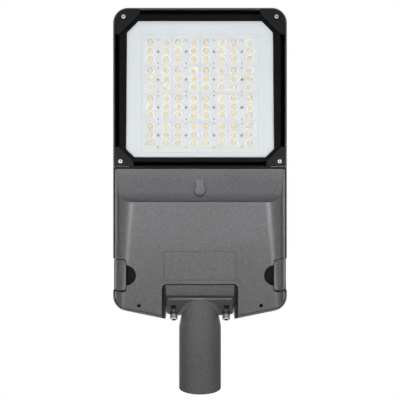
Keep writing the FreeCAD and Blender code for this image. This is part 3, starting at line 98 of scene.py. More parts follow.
class Finish:
    # one material or world: its nodes come from add()
    def __init__(self, owner):
        owner.use_nodes = True
        self.tree = owner.node_tree
        self.tree.nodes.clear()

    def add(self, kind, settings=None, sockets=None, output=0):
        node = self.tree.nodes.new("ShaderNode" + kind)
        for name, value in (settings or {}).items():
            setattr(node, name, value)
        for name, value in (sockets or {}).items():
            self.feed(node.inputs[name], value)
        return Wire(self, node.outputs[output]) if node.outputs else None

    def feed(self, socket, value):
        if isinstance(value, Wire):
            self.tree.links.new(value.socket, socket)
        elif isinstance(value, tuple) and len(value) == 3 and socket.type == "RGBA":
            socket.default_value = (*value, 1.0)
        else:
            socket.default_value = value

    def place(self):
        return self.add("TexCoord", {}, {}, "Object")

    def axes(self):
        return [self.add("SeparateXYZ", {}, {0: self.place()}, k) for k in range(3)]

    def noise(self, scale, detail=3.0, rough=0.55):
        sockets = {"Vector": self.place(), "Scale": scale, "Detail": detail, "Roughness": rough}
        return self.add("TexNoise", {}, sockets)

    def cells(self, scale):
        return self.add("TexVoronoi", {"feature": "F1"}, {"Vector": self.place(), "Scale": scale})

    def mix(self, amount, first, second):
        return self.add("Mix", {"data_type": "RGBA"}, {0: amount, 6: first, 7: second}, 2)

    def bump(self, height, distance, strength):
        return self.add("Bump", {}, {"Height": height, "Distance": distance, "Strength": strength})

    def surface(self, **sockets):
        named = {name.replace("_", " "): value for name, value in sockets.items()}
        return self.add("BsdfPrincipled", {}, named)

    def close(self, shader):
        self.add("OutputMaterial", {}, {"Surface": shader})


def finishNamed(name):
    return Finish(bpy.data.materials.new(name))


def shade(colour, factor):
    return tuple(min(1.0, c * factor) for c in colour)


# mesh helpers
def meshPiece(name, points, faces, materials, faceMaterial=None, smooth=True, relief=None):
    # points (n, 3) in metres; faces are lists of point numbers
    mesh = bpy.data.meshes.new(name)
    mesh.from_pydata(np.asarray(points, dtype=float).tolist(), [], [list(map(int, f)) for f in faces])
    for material in materials:
        mesh.materials.append(material)
    if faceMaterial is not None:
        mesh.polygons.foreach_set("material_index", np.asarray(faceMaterial, dtype=np.int32))
    mesh.polygons.foreach_set("use_smooth", np.full(len(mesh.polygons), smooth))
    if relief is not None:
        layer = mesh.attributes.new("relief", "FLOAT", "POINT")
        layer.data.foreach_set("value", np.asarray(relief, dtype=np.float32))
    mesh.update()
    mesh.validate()
    piece = bpy.data.objects.new(name, mesh)
    bpy.context.scene.collection.objects.link(piece)
    return piece


def gridFaces(rows, columns, wrapRows=False, wrapColumns=False, first=0):
    # quads between neighbouring rows and columns of a (rows, columns) grid of points
    i = np.arange(rows if wrapRows else rows - 1)
    j = np.arange(columns if wrapColumns else columns - 1)
    a, b = np.meshgrid(i, j, indexing="ij")
    up = (a + 1) % rows
    side = (b + 1) % columns
    quads = np.stack([a * columns + b, a * columns + side, up * columns + side, up * columns + b], axis=-1)
    return quads.reshape(-1, 4) + first


def turned(profile, count):
    # profile rows of radius, height and flats turned round the height axis: x = r cos a, y = r sin a,
    # with r drawn in towards a hexagon by the share that flats gives
    angle = np.linspace(0, 2 * np.pi, count, endpoint=False)
    radius, height, flats = np.asarray([(*row, 0.0)[:3] for row in profile], dtype=float).T
    hexagon = math.cos(math.pi / 6) / np.cos(np.mod(angle, math.pi / 3) - math.pi / 6)
    reach = radius[:, None] * (1 - flats[:, None] + flats[:, None] * hexagon)
    z = np.repeat(height[:, None], count, axis=1)
    return np.stack([reach * np.cos(angle), reach * np.sin(angle), z], axis=-1)


def turnedSolid(profile, count):
    # closed turned solid: rings of the profile, and a flat lid on its first and last ring
    rings = turned(profile, count)
    rows = len(profile)
    faces = [list(q) for q in gridFaces(rows, count, wrapColumns=True)]
    faces.append(list(range(count))[::-1])
    faces.append([(rows - 1) * count + k for k in range(count)])
    return rings.reshape(-1, 3), faces


def facing(points, along, at):
    # turns a solid built along +Z so that its +Z points along a direction, and carries it to a place
    turn = np.array(Vector((0, 0, 1)).rotation_difference(Vector(along)).to_matrix())
    return points @ turn.T + np.asarray(at)


def joined(solids):
    points = []
    faces = []
    count = 0
    for solidPoints, solidFaces in solids:
        points.append(solidPoints)
        faces += [[v + count for v in f] for f in solidFaces]
        count += len(solidPoints)
    return np.concatenate(points), faces


def fixNormals(piece):
    bpy.context.view_layer.objects.active = piece
    piece.select_set(True)
    bpy.ops.object.mode_set(mode="EDIT")
    bpy.ops.mesh.select_all(action="SELECT")
    bpy.ops.mesh.normals_make_consistent(inside=False)
    bpy.ops.object.mode_set(mode="OBJECT")
    piece.select_set(False)


def boxOf(node):
    # lowest and highest corner of a node, in mm
    return [np.array(corner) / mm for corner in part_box(node)]


def dress(names, material):
    for name in names:
        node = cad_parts[name]
        node.data.materials.clear()
        node.data.materials.append(material)


# finishes: colours are linear, and the places of painted marks are in metres
castPaint = {"body": (0.130, 0.132, 0.137), "cover": (0.138, 0.140, 0.146), "socket": (0.130, 0.132, 0.136),
             "latch": (0.136, 0.138, 0.142), "clamp": (0.012, 0.012, 0.0125),
             "paintedShade": (0.006, 0.006, 0.0065), "grain": 1500.0, "speckle": 430.0, "grainDepth": 0.00007,
             "cloud": 9.0, "rough": 0.29, "shine": 0.28}
fingerCup = {"x": 0.127, "y": 0.202, "radius": 0.0173, "soft": 0.0004, "pocket": 0.1264, "reach": 0.0272,
             "floor": -20.07, "thick": 0.3}  # floor and thick are the black pad's, in mm; the pad is painted shade for the recess
drainHole = {"x": 0.1050, "y": 0.1495, "radius": 0.0029}
dimple = {"y": 0.348, "radius": 0.0107, "narrow": 0.0052, "long": 0.019, "line": 0.0013, "share": 0.75,
          "fadeFrom": 0.2, "fadeTo": 0.9, "barIn": 0.00095, "barOut": 0.0044, "barFrom": 0.0055,
          "barTo": 0.0185, "gleam": 0.7}
saddleSeat = {"half": 0.0605, "front": 0.197, "fade": 0.001, "share": 0.25, "under": -0.003,
              "flankIn": 0.0580, "flankOut": 0.0668, "flankTo": 0.187, "flankShare": 0.85,
              "slotX": 0.0455, "slotHalf": 0.0050, "slotTo": 0.1615, "step": 0.0005,
              "bandLow": 0.1600, "bandHigh": 0.1668, "bandSoft": 0.0008, "bandShare": 0.75}
saddleEdge = {"low": 0.1614, "high": 0.1632, "soft": 0.0004, "half": 0.055, "fade": 0.002, "gleam": 0.9}
tubeEnd = {"y": 0.1215, "half": 0.0368, "reach": 0.0385, "rim": 1.06, "share": 0.45, "slotX": 0.0455,
           "slotHalf": 0.0044, "slotLow": 0.139, "slotHigh": 0.1500}
rearSeam = {"x": 0.0633, "y": 0.1300, "slope": 0.2, "low": 0.0012, "high": 0.0026, "end": 0.001,
            "share": 0.85}
bareRecess = {"half": 0.062, "middle": 0.2185, "reach": 0.0245, "line": 0.0009, "share": 0.5}
crest = {"y": 0.3262, "line": 0.0013, "half": 0.122, "fade": 0.02, "share": 0.55}
coverGap = {"start": 0.168, "inner": 0.1465, "outer": 0.1502, "rear": 0.384, "front": 0.3903,
            "sideFront": 0.3905, "lip": -0.0163, "deep": 0.0008}
markEdge = 0.0002  # a painted mark fades out over this, in metres


def below(value, limit, soft=markEdge):
    # 1 up to a limit, 0 past it
    return value.ramp(limit, limit + soft, 1.0, 0.0)


def above(value, limit, soft=markEdge):
    # 1 from a limit on, 0 before it
    return value.ramp(limit - soft, limit)


def within(value, low, high, soft=markEdge):
    # 1 between two limits, 0 outside them
    return above(value, low, soft) * below(value, high, soft)


def away(x, y, spot):
    # distance from the spot's middle
    return ((x - spot["x"]) ** 2.0 + (y - spot["y"]) ** 2.0) ** 0.5


def dropEdge(x, y):
    # distance from the outline of the drop-shaped dimple: a circle below its middle, straight sides above
    up = (y - dimple["y"]).top(0.0)
    half = dimple["radius"] - up * ((dimple["radius"] - dimple["narrow"]) / dimple["long"])
    down = (dimple["y"] - y).top(0.0)
    return (x ** 2.0 + down ** 2.0) ** 0.5 - half


def coverShade(finish):
    # painted shade: black in the finger recesses and latch pockets, and in the drain holes
    x, y = finish.axes()[:2]
    side = x.size()
    cup = below(away(side, y, fingerCup), fingerCup["radius"], fingerCup["soft"])
    pocket = within(y - fingerCup["y"], -fingerCup["reach"], fingerCup["reach"])
    pocket = pocket * above(side, fingerCup["pocket"])
    drain = below(away(side, y, drainHole), drainHole["radius"])
    # shade that gathers along the step of the bare recess and the wall of the dimple
    edge = (side - bareRecess["half"]).top((y - bareRecess["middle"]).size() - bareRecess["reach"])
    step = edge.size().ramp(0.0, bareRecess["line"], bareRecess["share"], 0.0)
    wall = dropEdge(x, y).size().ramp(0.0, dimple["line"], dimple["share"], 0.0)
    fadeFrom, fadeTo = (dimple["y"] + dimple["long"] * dimple[key] for key in ("fadeFrom", "fadeTo"))
    wall = wall * y.ramp(fadeFrom, fadeTo, 1.0, 0.0)
    # painted shadow of the gap at the seam just inside the sloping rear edge
    inset = y - rearSeam["y"] - (side - rearSeam["x"]) * rearSeam["slope"]
    seam = within(inset, rearSeam["low"], rearSeam["high"]) * rearSeam["share"]
    seam = seam * side.ramp(rearSeam["x"], rearSeam["x"] + rearSeam["end"])
    return cup.top(pocket).top(drain).top(step).top(wall).top(seam)


def coverGleam(finish):
    # painted highlight along the crest and on the two bars of the dimple's tongue
    x, y = finish.axes()[:2]
    side = x.size()
    ridge = (y - crest["y"]).size().ramp(0.0, crest["line"], crest["share"], 0.0)
    ridge = ridge * side.ramp(crest["half"] - crest["fade"], crest["half"], 1.0, 0.0)
    bars = within(side, dimple["barIn"], dimple["barOut"]) * dimple["gleam"]
    bars = bars * within(y - dimple["y"], dimple["barFrom"], dimple["barTo"])
    return ridge.top(bars)


def saddleGleam(finish):
    # painted highlight along the top edge of the saddle
    x, y = finish.axes()[:2]
    line = within(y, saddleEdge["low"], saddleEdge["high"], saddleEdge["soft"])
    return line * below(x.size(), saddleEdge["half"], saddleEdge["fade"]) * saddleEdge["gleam"]


def saddleShade(finish):
    # painted shade: the flange round the tube's rounded end is darkened, and its two slots are painted black
    x, y = finish.axes()[:2]
    over = (y - tubeEnd["y"]).top(0.0) / tubeEnd["reach"]
    beside = (((x / tubeEnd["half"]) ** 2.0 + over ** 2.0) ** 0.5).ramp(1.0, tubeEnd["rim"])
    slot = below((x.size() - tubeEnd["slotX"]).size(), tubeEnd["slotHalf"])
    slot = slot * within(y, tubeEnd["slotLow"], tubeEnd["slotHigh"])
    return (beside * tubeEnd["share"]).top(slot)


def housingShade(finish):
    # painted shade on the saddle's seat: a strip as wide as the saddle, up to the notch
    x, y, z = finish.axes()
    side = x.size()
    across = below(side, saddleSeat["half"], saddleSeat["fade"])
    seat = across * below(y, saddleSeat["front"], saddleSeat["fade"]) * saddleSeat["share"]
    # painted shade beside the saddle, behind its slots and along its top edge
    flank = within(side, saddleSeat["flankIn"], saddleSeat["flankOut"])
    flank = flank * below(y, saddleSeat["flankTo"], saddleSeat["step"]) * saddleSeat["flankShare"]
    slot = below((side - saddleSeat["slotX"]).size(), saddleSeat["slotHalf"])
    slot = slot * below(y, saddleSeat["slotTo"], saddleSeat["step"])
    band = within(y, saddleSeat["bandLow"], saddleSeat["bandHigh"], saddleSeat["bandSoft"])
    seat = seat.top(band * across * saddleSeat["bandShare"]).top(flank).top(slot)
    seat = seat * below(z, saddleSeat["under"], saddleSeat["fade"])
    # painted shade, black, in the gap between the cover and the lip at each side, and between the cover and
    # the glass
    beside = within(side, coverGap["inner"], coverGap["outer"])
    beside = beside * within(y, coverGap["start"], coverGap["sideFront"])
    ahead = within(y, coverGap["rear"], coverGap["front"]) * below(side, coverGap["outer"])
    level = within(z, coverGap["lip"], coverGap["deep"])
    return (seat + (beside + ahead) * level).clip()


def paintFinish(name, colour, shine=castPaint["shine"], dark=None, light=None, gloss=castPaint["rough"],
                highlightGain=1.8):
    # textured powder coat: soft cloudiness, a speckle of two sizes in colour and bump, uneven gloss;
    # dark and light are functions that give the share of painted shade and of painted highlight at a place
    finish = finishNamed(name)
    tone = finish.noise(castPaint["cloud"], 4.0).ramp(0.35, 0.65)
    grain = finish.noise(castPaint["grain"], 2.0, 0.6)
    speckle = finish.noise(castPaint["speckle"], 3.0, 0.65)
    pits = finish.cells(castPaint["grain"] * 0.55)
    base = finish.mix(tone, shade(colour, 0.96), shade(colour, 1.04))
    base = finish.mix(speckle.ramp(0.50, 0.70) * 0.6, base, shade(colour, 1.6))
    base = finish.mix(speckle.ramp(0.32, 0.50, 1.0, 0.0) * 0.6, base, shade(colour, 0.58))
    base = finish.mix(grain.ramp(0.4, 0.75) * 0.25, base, shade(colour, 1.3))
    base = finish.mix(pits.ramp(0.0, 0.25, 1.0, 0.0) * 0.25, base, shade(colour, 0.6))
    if dark:
        base = finish.mix(dark(finish), base, castPaint["paintedShade"])
    if light:
        base = finish.mix(light(finish), base, shade(colour, highlightGain))
    rough = gloss + tone * 0.05 + grain * 0.1
    normal = finish.bump(grain + speckle * 0.8 + pits * 0.4, castPaint["grainDepth"], 0.6)
    finish.close(finish.surface(Base_Color=base, Roughness=rough, Normal=normal, Specular_IOR_Level=shine))
    return bpy.data.materials[name]


def steelFinish(name, colour, rough=0.26, brush=0.00002, metal=1.0):
    # stainless steel or sheet: fine tool marks and a slightly uneven polish
    finish = finishNamed(name)
    marks = finish.noise(2600.0, 2.0)
    patch = finish.noise(220.0, 3.0)
    base = finish.mix(patch.ramp(0.3, 0.7), shade(colour, 0.86), colour)
    base = finish.mix(marks.ramp(0.55, 0.8) * 0.3, base, shade(colour, 0.6))
    normal = finish.bump(marks, brush, 0.6)
    polish = patch * 0.12 + rough
    finish.close(finish.surface(Base_Color=base, Metallic=metal, Roughness=polish, Normal=normal))
    return bpy.data.materials[name]


def plasticFinish(name, colour, rough=0.4, grain=900.0, depth=0.00003, spread=0.05, shine=0.5):
    # moulded plastic or lacquer: faint mottling and a fine moulded grain
    finish = finishNamed(name)
    mottle = finish.noise(60.0, 3.0)
    fine = finish.noise(grain, 2.0)
    base = finish.mix(mottle.ramp(0.3, 0.7), shade(colour, 1 - spread), shade(colour, 1 + spread))
    normal = finish.bump(fine, depth, 0.5)
    finish.close(finish.surface(Base_Color=base, Roughness=fine * 0.1 + rough, Normal=normal,
                                Specular_IOR_Level=shine))
    return bpy.data.materials[name]


def phosphorFinish(name, colour, glow):
    # yellow phosphor: grainy, with a painted glow: an emission that brightens it although it is no lamp
    finish = finishNamed(name)
    grain = finish.noise(2400.0, 2.0)
    base = finish.mix(grain.ramp(0.3, 0.7), shade(colour, 0.94), colour)
    finish.close(finish.surface(Base_Color=base, Roughness=grain * 0.1 + 0.5, Emission_Color=base,
                                Emission_Strength=glow, Specular_IOR_Level=0.2))
    return bpy.data.materials[name]


def reliefFinish(name, colour, crown, groove):
    # moulded clear plastic over white, with painted highlight: whiter along the crown of each hood; and
    # painted shade: grey in the groove inside it, near black in the pin holes
    finish = finishNamed(name)
    relief = finish.add("Attribute", {"attribute_name": "relief"}, {}, "Fac")
    fine = finish.noise(1500.0, 2.0)
    base = finish.mix(finish.noise(60.0).ramp(0.3, 0.7), shade(colour, 0.985), shade(colour, 1.015))
    base = finish.mix(relief.ramp(0.0, 1.0), base, crown)
    base = finish.mix(relief.ramp(-1.0, 0.0, 1.0, 0.0), base, groove)
    base = finish.mix(relief.ramp(-2.0, -1.1, 1.0, 0.0), base, shade(groove, 0.1))
    normal = finish.bump(fine, 0.000004, 0.5)
    finish.close(finish.surface(Base_Color=base, Roughness=fine * 0.1 + 0.22, Normal=normal, Coat_Weight=0.3))
    return bpy.data.materials[name]


def clearFinish(name, tint, rough=0.02, haze=0.0, hazeColour=(1, 1, 1), index=1.5):
    # clear sheet or bulb: see-through, with a gloss that grows at a slant, and a little haze
    finish = finishNamed(name)
    smear = finish.noise(18.0, 3.0)
    outside = 1.0 - finish.add("NewGeometry", {}, {}, "Backfacing")
    edge = finish.add("Fresnel", {}, {"IOR": index}) * outside
    through = finish.add("BsdfTransparent", {}, {"Color": tint})
    gloss = finish.surface(Base_Color=hazeColour, Roughness=smear * 0.05 + rough)
    shine = finish.add("BsdfGlossy", {}, {"Color": (1, 1, 1), "Roughness": smear * 0.04 + rough})
    clear = finish.add("MixShader", {}, {0: edge, 1: through, 2: shine})
    milky = smear.ramp(0.2, 0.8) * (0.4 * haze) + 0.8 * haze
    finish.close(finish.add("MixShader", {}, {0: milky, 1: clear, 2: gloss}))
    return bpy.data.materials[name]


paintBody = paintFinish("housingPaint", castPaint["body"], castPaint["shine"], housingShade)
paintCover = paintFinish("coverPaint", castPaint["cover"], castPaint["shine"], coverShade, coverGleam)
paintSocket = paintFinish("socketPaint", castPaint["socket"], 0.12, saddleShade, saddleGleam, 0.5, 2.6)
paintLatch = paintFinish("latchPaint", castPaint["latch"])
paintClamp = paintFinish("clampPaint", castPaint["clamp"], 0.12)
steelBright = steelFinish("stainlessBright", (0.80, 0.80, 0.79), 0.3, 0.00002, 0.5)
steelPin = steelFinish("stainlessPin", (0.62, 0.62, 0.62), 0.34)
rubberBlack = plasticFinish("sealRubber", (0.008, 0.008, 0.0085), 0.72, 700.0, 0.00005, 0.2, 0.15)
sheetWhite = plasticFinish("reflectorWhite", (0.755, 0.78, 0.81), 0.38, 1200.0, 0.00001, 0.012)
boardWhite = plasticFinish("boardMask", (0.765, 0.775, 0.77), 0.35, 1500.0, 0.00001, 0.02)
plateWhite = reliefFinish("lensPlate", (0.775, 0.78, 0.78), (0.95, 0.95, 0.95), (0.44, 0.445, 0.45))
chipYellow = phosphorFinish("phosphor", (1.0, 0.53, 0.004), 0.35)
chipBody = plasticFinish("chipPackage", (0.86, 0.86, 0.83), 0.4)
trayZinc = steelFinish("traySheet", (0.42, 0.425, 0.43), 0.5, 0.00002, 0.15)
driverCase = steelFinish("driverCase", (0.44, 0.445, 0.45), 0.5, 0.00002, 0.12)
plasticPale = plasticFinish("paleMoulding", (0.70, 0.70, 0.67), 0.45)
plasticDark = plasticFinish("darkMoulding", (0.02, 0.02, 0.021), 0.5)
frontClear = clearFinish("frontGlassClear", (0.985, 0.99, 0.99), 0.01, 0.0, (1, 1, 1), 1.14)
fritBlack = plasticFinish("glassBorderPrint", (0.0045, 0.0045, 0.0048), 0.4, 1500.0, 0.000002, 0.1, 0.05)
lensClear = clearFinish("lensClear", (0.985, 0.988, 0.99), 0.05, 0.02, (0.86, 0.87, 0.87), 1.14)
steelGrey = steelFinish("screwSteelGrey", (0.48, 0.485, 0.49), 0.45, 0.00002, 0.0)
boltSteel = steelFinish("boltSteel", (0.42, 0.42, 0.425), 0.3, 0.00002, 0.6)
washerSteel = steelFinish("washerSteel", (0.13, 0.13, 0.135), 0.36)
socketBlack = plasticFinish("socketShade", (0.006, 0.006, 0.0065), 0.6, 900.0, 0.00001, 0.1, 0.1)
cupBlack = plasticFinish("cupWasherBlack", (0.009, 0.009, 0.0095), 0.45, 900.0, 0.00001, 0.1, 0.25)
print("finishes made:", len(bpy.data.materials))

dress(["upper_housing"], paintBody)
dress(["gear_cover"], paintCover)
dress(["spigot_adapter"], paintSocket)
dress(["latch_left_lever", "latch_right_lever"], paintLatch)
dress([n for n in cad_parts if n.startswith("glass_clamp")], paintClamp)
dress(["tilt_bolts", "tilt_washers", "clamp_screws"], steelBright)
dress(["pole_set_screws", "driver_screws", "cable_clamp_screws"], steelBright)
dress(["lens_screws"], steelGrey)
dress([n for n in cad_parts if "_pin_" in n], steelPin)
dress(["glass_gasket", "gear_gasket"], rubberBlack)
dress(["reflector_sheet"], sheetWhite)
dress([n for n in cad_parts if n.startswith("led_board")], boardWhite)
dress([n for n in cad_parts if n.startswith("lens_plate")], plateWhite)
dress(["led_chips"], chipYellow)
dress(["gear_tray"], trayZinc)
dress(["led_driver"], driverCase)
dress(["surge_protector", "terminal_block"], plasticPale)
dress(["lead_gland", "cable_clamp", "breather_valve"], plasticDark)


# front glass: cut-corner sheet with polished edges and a black printed border on its inner face
frontGlass = {"windowHalfFront": 127.4, "windowHalfRear": 129.1, "windowRear": 405.5, "windowFront": 643.1,
              "windowCutFront": 20.0, "windowCutRear": 14.6, "arris": 0.7, "frontCut": 36.0, "rearCut": 26.0}


def cutCorners(halfRear, halfFront, rear, front, cutRear, cutFront):
    # eight corners of a sheet, anticlockwise from its rear right corner, seen from above
    right = [(halfRear - cutRear, rear), (halfRear, rear + cutRear),
             (halfFront, front - cutFront), (halfFront - cutFront, front)]
    return np.array(right + [(-x, y) for x, y in reversed(right)])


def buildGlass():
    low, high = boxOf("front_glass")
    half = high[0]
    arris = frontGlass["arris"]

    def ring(inset, z):
        loss = inset * (2 - math.sqrt(2))
        plane = cutCorners(half - inset, half - inset, low[1] + inset, high[1] - inset,
                           frontGlass["rearCut"] - loss, frontGlass["frontCut"] - loss)
        return np.column_stack([plane, np.full(8, z)])

    window = cutCorners(frontGlass["windowHalfRear"], frontGlass["windowHalfFront"], frontGlass["windowRear"],
                        frontGlass["windowFront"], frontGlass["windowCutRear"], frontGlass["windowCutFront"])
    rings = [ring(arris, low[2]), ring(0, low[2] + arris), ring(0, high[2] - arris), ring(arris, high[2]),
             np.column_stack([window, np.full(8, high[2])])]
    points = np.concatenate(rings) * mm
    faces = [list(q) for q in gridFaces(5, 8, wrapColumns=True)]
    kinds = [0] * 24 + [1] * 8
    faces.append(list(range(8))[::-1])
    faces.append([32 + k for k in range(8)])
    kinds += [0, 0]
    glass = meshPiece("frontGlassSheet", points, faces, [frontClear, fritBlack], kinds, False)
    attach(glass, "head")
    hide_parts("front_glass")


buildGlass()
print("front glass built")


# lens plates: a square plate whose front is a height over the board, with six hooded lenses,
# and a clear bulb in each of them
lensPlate = {"side": 24.42, "cells": 96, "base": 3.0, "pitchX": 27.5, "pitchY": 14.6, "shift": 1.2,
             "edge": 0.22, "hoodRadius": 6.5, "hoodWide": 1.6, "hoodTall": 2.3, "rimRadius": 4.75,
             "rimWide": 0.7, "rimTall": 0.7, "dishRadius": 4.4, "dishFloor": 2.5, "seatRadius": 3.3,
             "seatFloor": 1.5, "pinRadius": 0.95, "pinAway": 20.6, "pinDeep": 0.5, "pinSoft": 0.35,
             "bulbRadius": 4.4, "bulbTall": 7.4, "bulbLift": 0.06, "bulbTip": 0.25,
             "grooveRadius": 5.1, "grooveWide": 0.7}
lensCentres = [(i * lensPlate["pitchX"], j * lensPlate["pitchY"]) for i in (-0.5, 0.5) for j in (-1, 0, 1)]
plateSpots = [(row, column) for row in range(1, 5) for column in range(1, 5)]


def plateCentre(spot):
    # middle of a plate's back face
    low, high = boxOf("lens_plate_%d_%d" % spot)
    return np.array([*(low + high)[:2] / 2, high[2]])


def ringShape(r, middle, wide):
    # 1 on a ring, falling to 0 as a parabola on both sides of it
    return np.clip(1 - ((r - middle) / wide) ** 2, 0, 1)


def softStep(value, low, high):
    t = np.clip((value - low) / (high - low), 0, 1)
    return t * t * (3 - 2 * t)


def plateRelief(x, y):
    # +1 along the crown of each hood, -1 in the thin groove between hood and rim, -2 in the pin holes: where
    # the plate's painted highlight and painted shade go
    relief = np.zeros_like(x)
    for cx, cy in lensCentres:
        u, v = x - cx, y - cy - lensPlate["shift"]
        r = np.hypot(u, v)
        fade = softStep(v / np.maximum(r, 0.1), -0.95, -0.15)
        crown = ringShape(r, lensPlate["hoodRadius"], lensPlate["hoodWide"]) * fade
        groove = ringShape(r, lensPlate["grooveRadius"], lensPlate["grooveWide"]) * (0.35 + 0.65 * fade)
        relief = np.where(groove > 0.05, -groove, np.maximum(relief, crown))
    for place in (-lensPlate["pinAway"], lensPlate["pinAway"]):
        relief = np.where(np.hypot(x, y - place) < lensPlate["pinRadius"], -2.0, relief)
    return relief


def plateHeight(x, y):
    # flat plate + a rounded hood round each lens that fades out towards the socket + a thin rim inside it
    # - a shallow dish under the bulb - a seat for the screw - two pin holes, rounded off at the plate's edges
    height = np.full_like(x, lensPlate["base"])
    away = [(x - cx, y - cy - lensPlate["shift"]) for cx, cy in lensCentres]
    for u, v in away:
        r = np.hypot(u, v)
        fade = softStep(v / np.maximum(r, 0.1), -0.95, -0.15)
        hood = ringShape(r, lensPlate["hoodRadius"], lensPlate["hoodWide"])
        rim = ringShape(r, lensPlate["rimRadius"], lensPlate["rimWide"])
        height = np.maximum(height, lensPlate["base"] + lensPlate["hoodTall"] * np.sqrt(hood) * fade)
        height = np.maximum(height, lensPlate["base"] + lensPlate["rimTall"] * np.sqrt(rim))
    for u, v in away:
        dish = 1 - softStep(np.hypot(u, v), lensPlate["dishRadius"] - 0.4, lensPlate["dishRadius"] + 0.3)
        height = height * (1 - dish) + lensPlate["dishFloor"] * dish
    seat = 1 - softStep(np.hypot(x, y), lensPlate["seatRadius"] - 0.3, lensPlate["seatRadius"] + 0.3)
    height = height * (1 - seat) + lensPlate["seatFloor"] * seat
    for place in (-lensPlate["pinAway"], lensPlate["pinAway"]):
        near, far = (lensPlate["pinRadius"] + sign * lensPlate["pinSoft"] for sign in (-1, 1))
        pin = 1 - softStep(np.hypot(x, y - place), near, far)
        height = height * (1 - pin) + lensPlate["pinDeep"] * pin
    inside = lensPlate["side"] - np.maximum(np.abs(x), np.abs(y))
    return height - lensPlate["edge"] * (1 - softStep(inside, 0, lensPlate["edge"]))


def buildLensPlates():
    count = lensPlate["cells"] + 1
    line = np.linspace(-lensPlate["side"], lensPlate["side"], count)
    x, y = np.meshgrid(line, line, indexing="ij")
    front = np.stack([x, y, -plateHeight(x, y)], axis=-1).reshape(-1, 3)
    border = np.concatenate([np.arange(count) * count, (count - 1) * count + np.arange(1, count),
                             np.arange(count - 2, -1, -1) * count + count - 1, np.arange(count - 2, 0, -1)])
    back = front[border] * np.array([1, 1, 0])
    frontFaces = [list(q) for q in gridFaces(count, count)[:, ::-1]]
    foot = np.arange(len(border)) + count * count
    wall = np.stack([foot, np.roll(foot, -1), np.roll(border, -1), border], axis=-1)
    platePoints = np.concatenate([front, back])
    plateFaces = frontFaces + wall.tolist() + [foot.tolist()]

    # bulb: an egg-shaped dome, radius R sqrt(1 - t^2) at height H t
    t = np.sin(np.linspace(0, np.pi / 2, 9))
    base = lensPlate["dishFloor"] + lensPlate["bulbLift"]
    rise = lensPlate["bulbTall"] - base
    bulbProfile = [(lensPlate["bulbRadius"] * math.sqrt(1 - s * s), base + rise * s) for s in t[:-1]]
    bulbProfile.append((lensPlate["bulbTip"], lensPlate["bulbTall"]))
    bulb = turnedSolid(bulbProfile, 28)
    bulbs = []
    for cx, cy in lensCentres:
        place = np.array([cx, cy + lensPlate["shift"], 0])
        bulbs.append((bulb[0] * np.array([1, 1, -1]) + place, [f[::-1] for f in bulb[1]]))
    bulbPoints, bulbFaces = joined(bulbs)
    points, faces = joined([(platePoints, plateFaces), (bulbPoints, bulbFaces)])
    relief = np.zeros(len(points))
    relief[:count * count] = plateRelief(x, y).reshape(-1)
    kinds = [0] * len(plateFaces) + [1] * len(bulbFaces)
    for spot in plateSpots:
        plate = meshPiece("lensPlate_%d_%d" % spot, (points + plateCentre(spot)) * mm, faces,
                          [plateWhite, lensClear], kinds, True, relief)
        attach(plate, "head")
        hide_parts("lens_plate_%d_%d" % spot)


buildLensPlates()
print("lens plates built")


# LED chips: a pale package with a domed phosphor pad, one under each bulb
ledChip = {"packHalf": (2.0, 2.9), "packTall": 2.3, "padHalf": (1.65, 2.7), "padTall": 0.75, "power": 3.0}


def roundedPad(half, low, tall, power, dome):
    # rounded rectangle rings: x = a |cos|^(2/p), y = b |sin|^(2/p);
    # they rise and shrink towards the dome's top
    angle = np.linspace(0, 2 * np.pi, 24, endpoint=False)
    cx = np.sign(np.cos(angle)) * np.abs(np.cos(angle)) ** (2 / power)
    cy = np.sign(np.sin(angle)) * np.abs(np.sin(angle)) ** (2 / power)
    steps = [(1.0, 0.0), (1.0, 1 - dome), (0.9, 1 - dome * 0.4), (0.7, 1 - dome * 0.1), (0.35, 1.0)]
    rings = [np.column_stack([half[0] * s * cx, half[1] * s * cy, np.full(24, low + tall * h)])
             for s, h in steps]
    faces = [list(q) for q in gridFaces(len(steps), 24, wrapColumns=True)]
    faces.append(list(range(24))[::-1])
    faces.append([(len(steps) - 1) * 24 + k for k in range(24)])
    return np.concatenate(rings), faces


def buildChips():
    pack = roundedPad(ledChip["packHalf"], 0.0, ledChip["packTall"], 6.0, 0.15)
    pad = roundedPad(ledChip["padHalf"], ledChip["packTall"] - 0.1, ledChip["padTall"], ledChip["power"], 0.7)
    flip = np.array([1, 1, -1])
    packs = []
    pads = []
    for spot in plateSpots:
        for cx, cy in lensCentres:
            place = plateCentre(spot) + np.array([cx, cy, 0])
            packs.append((pack[0] * flip + place, [f[::-1] for f in pack[1]]))
            pads.append((pad[0] * flip + place, [f[::-1] for f in pad[1]]))
    points, faces = joined(packs + pads)
    kinds = [0] * (len(packs) * len(pack[1])) + [1] * (len(pads) * len(pad[1]))
    chips = meshPiece("ledChipField", points * mm, faces, [chipBody, chipYellow], kinds)
    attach(chips, "head")
    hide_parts("led_chips")


buildChips()
print("chips built")


# reflector sheet: a formed white frame close behind the glass, and the board's margin that shows inside it
reflector = {"front": -7.5, "openHalf": 102.0, "openRear": 414.4, "openFront": 621.4, "edge": 0.5,
             "marginLow": -6.75, "marginTop": -6.0, "plateGap": 0.12, "frameGap": 0.15}


def rectangleRing(halfX, rear, front, z):
    return np.array([(-halfX, rear, z), (halfX, rear, z), (halfX, front, z), (-halfX, front, z)])


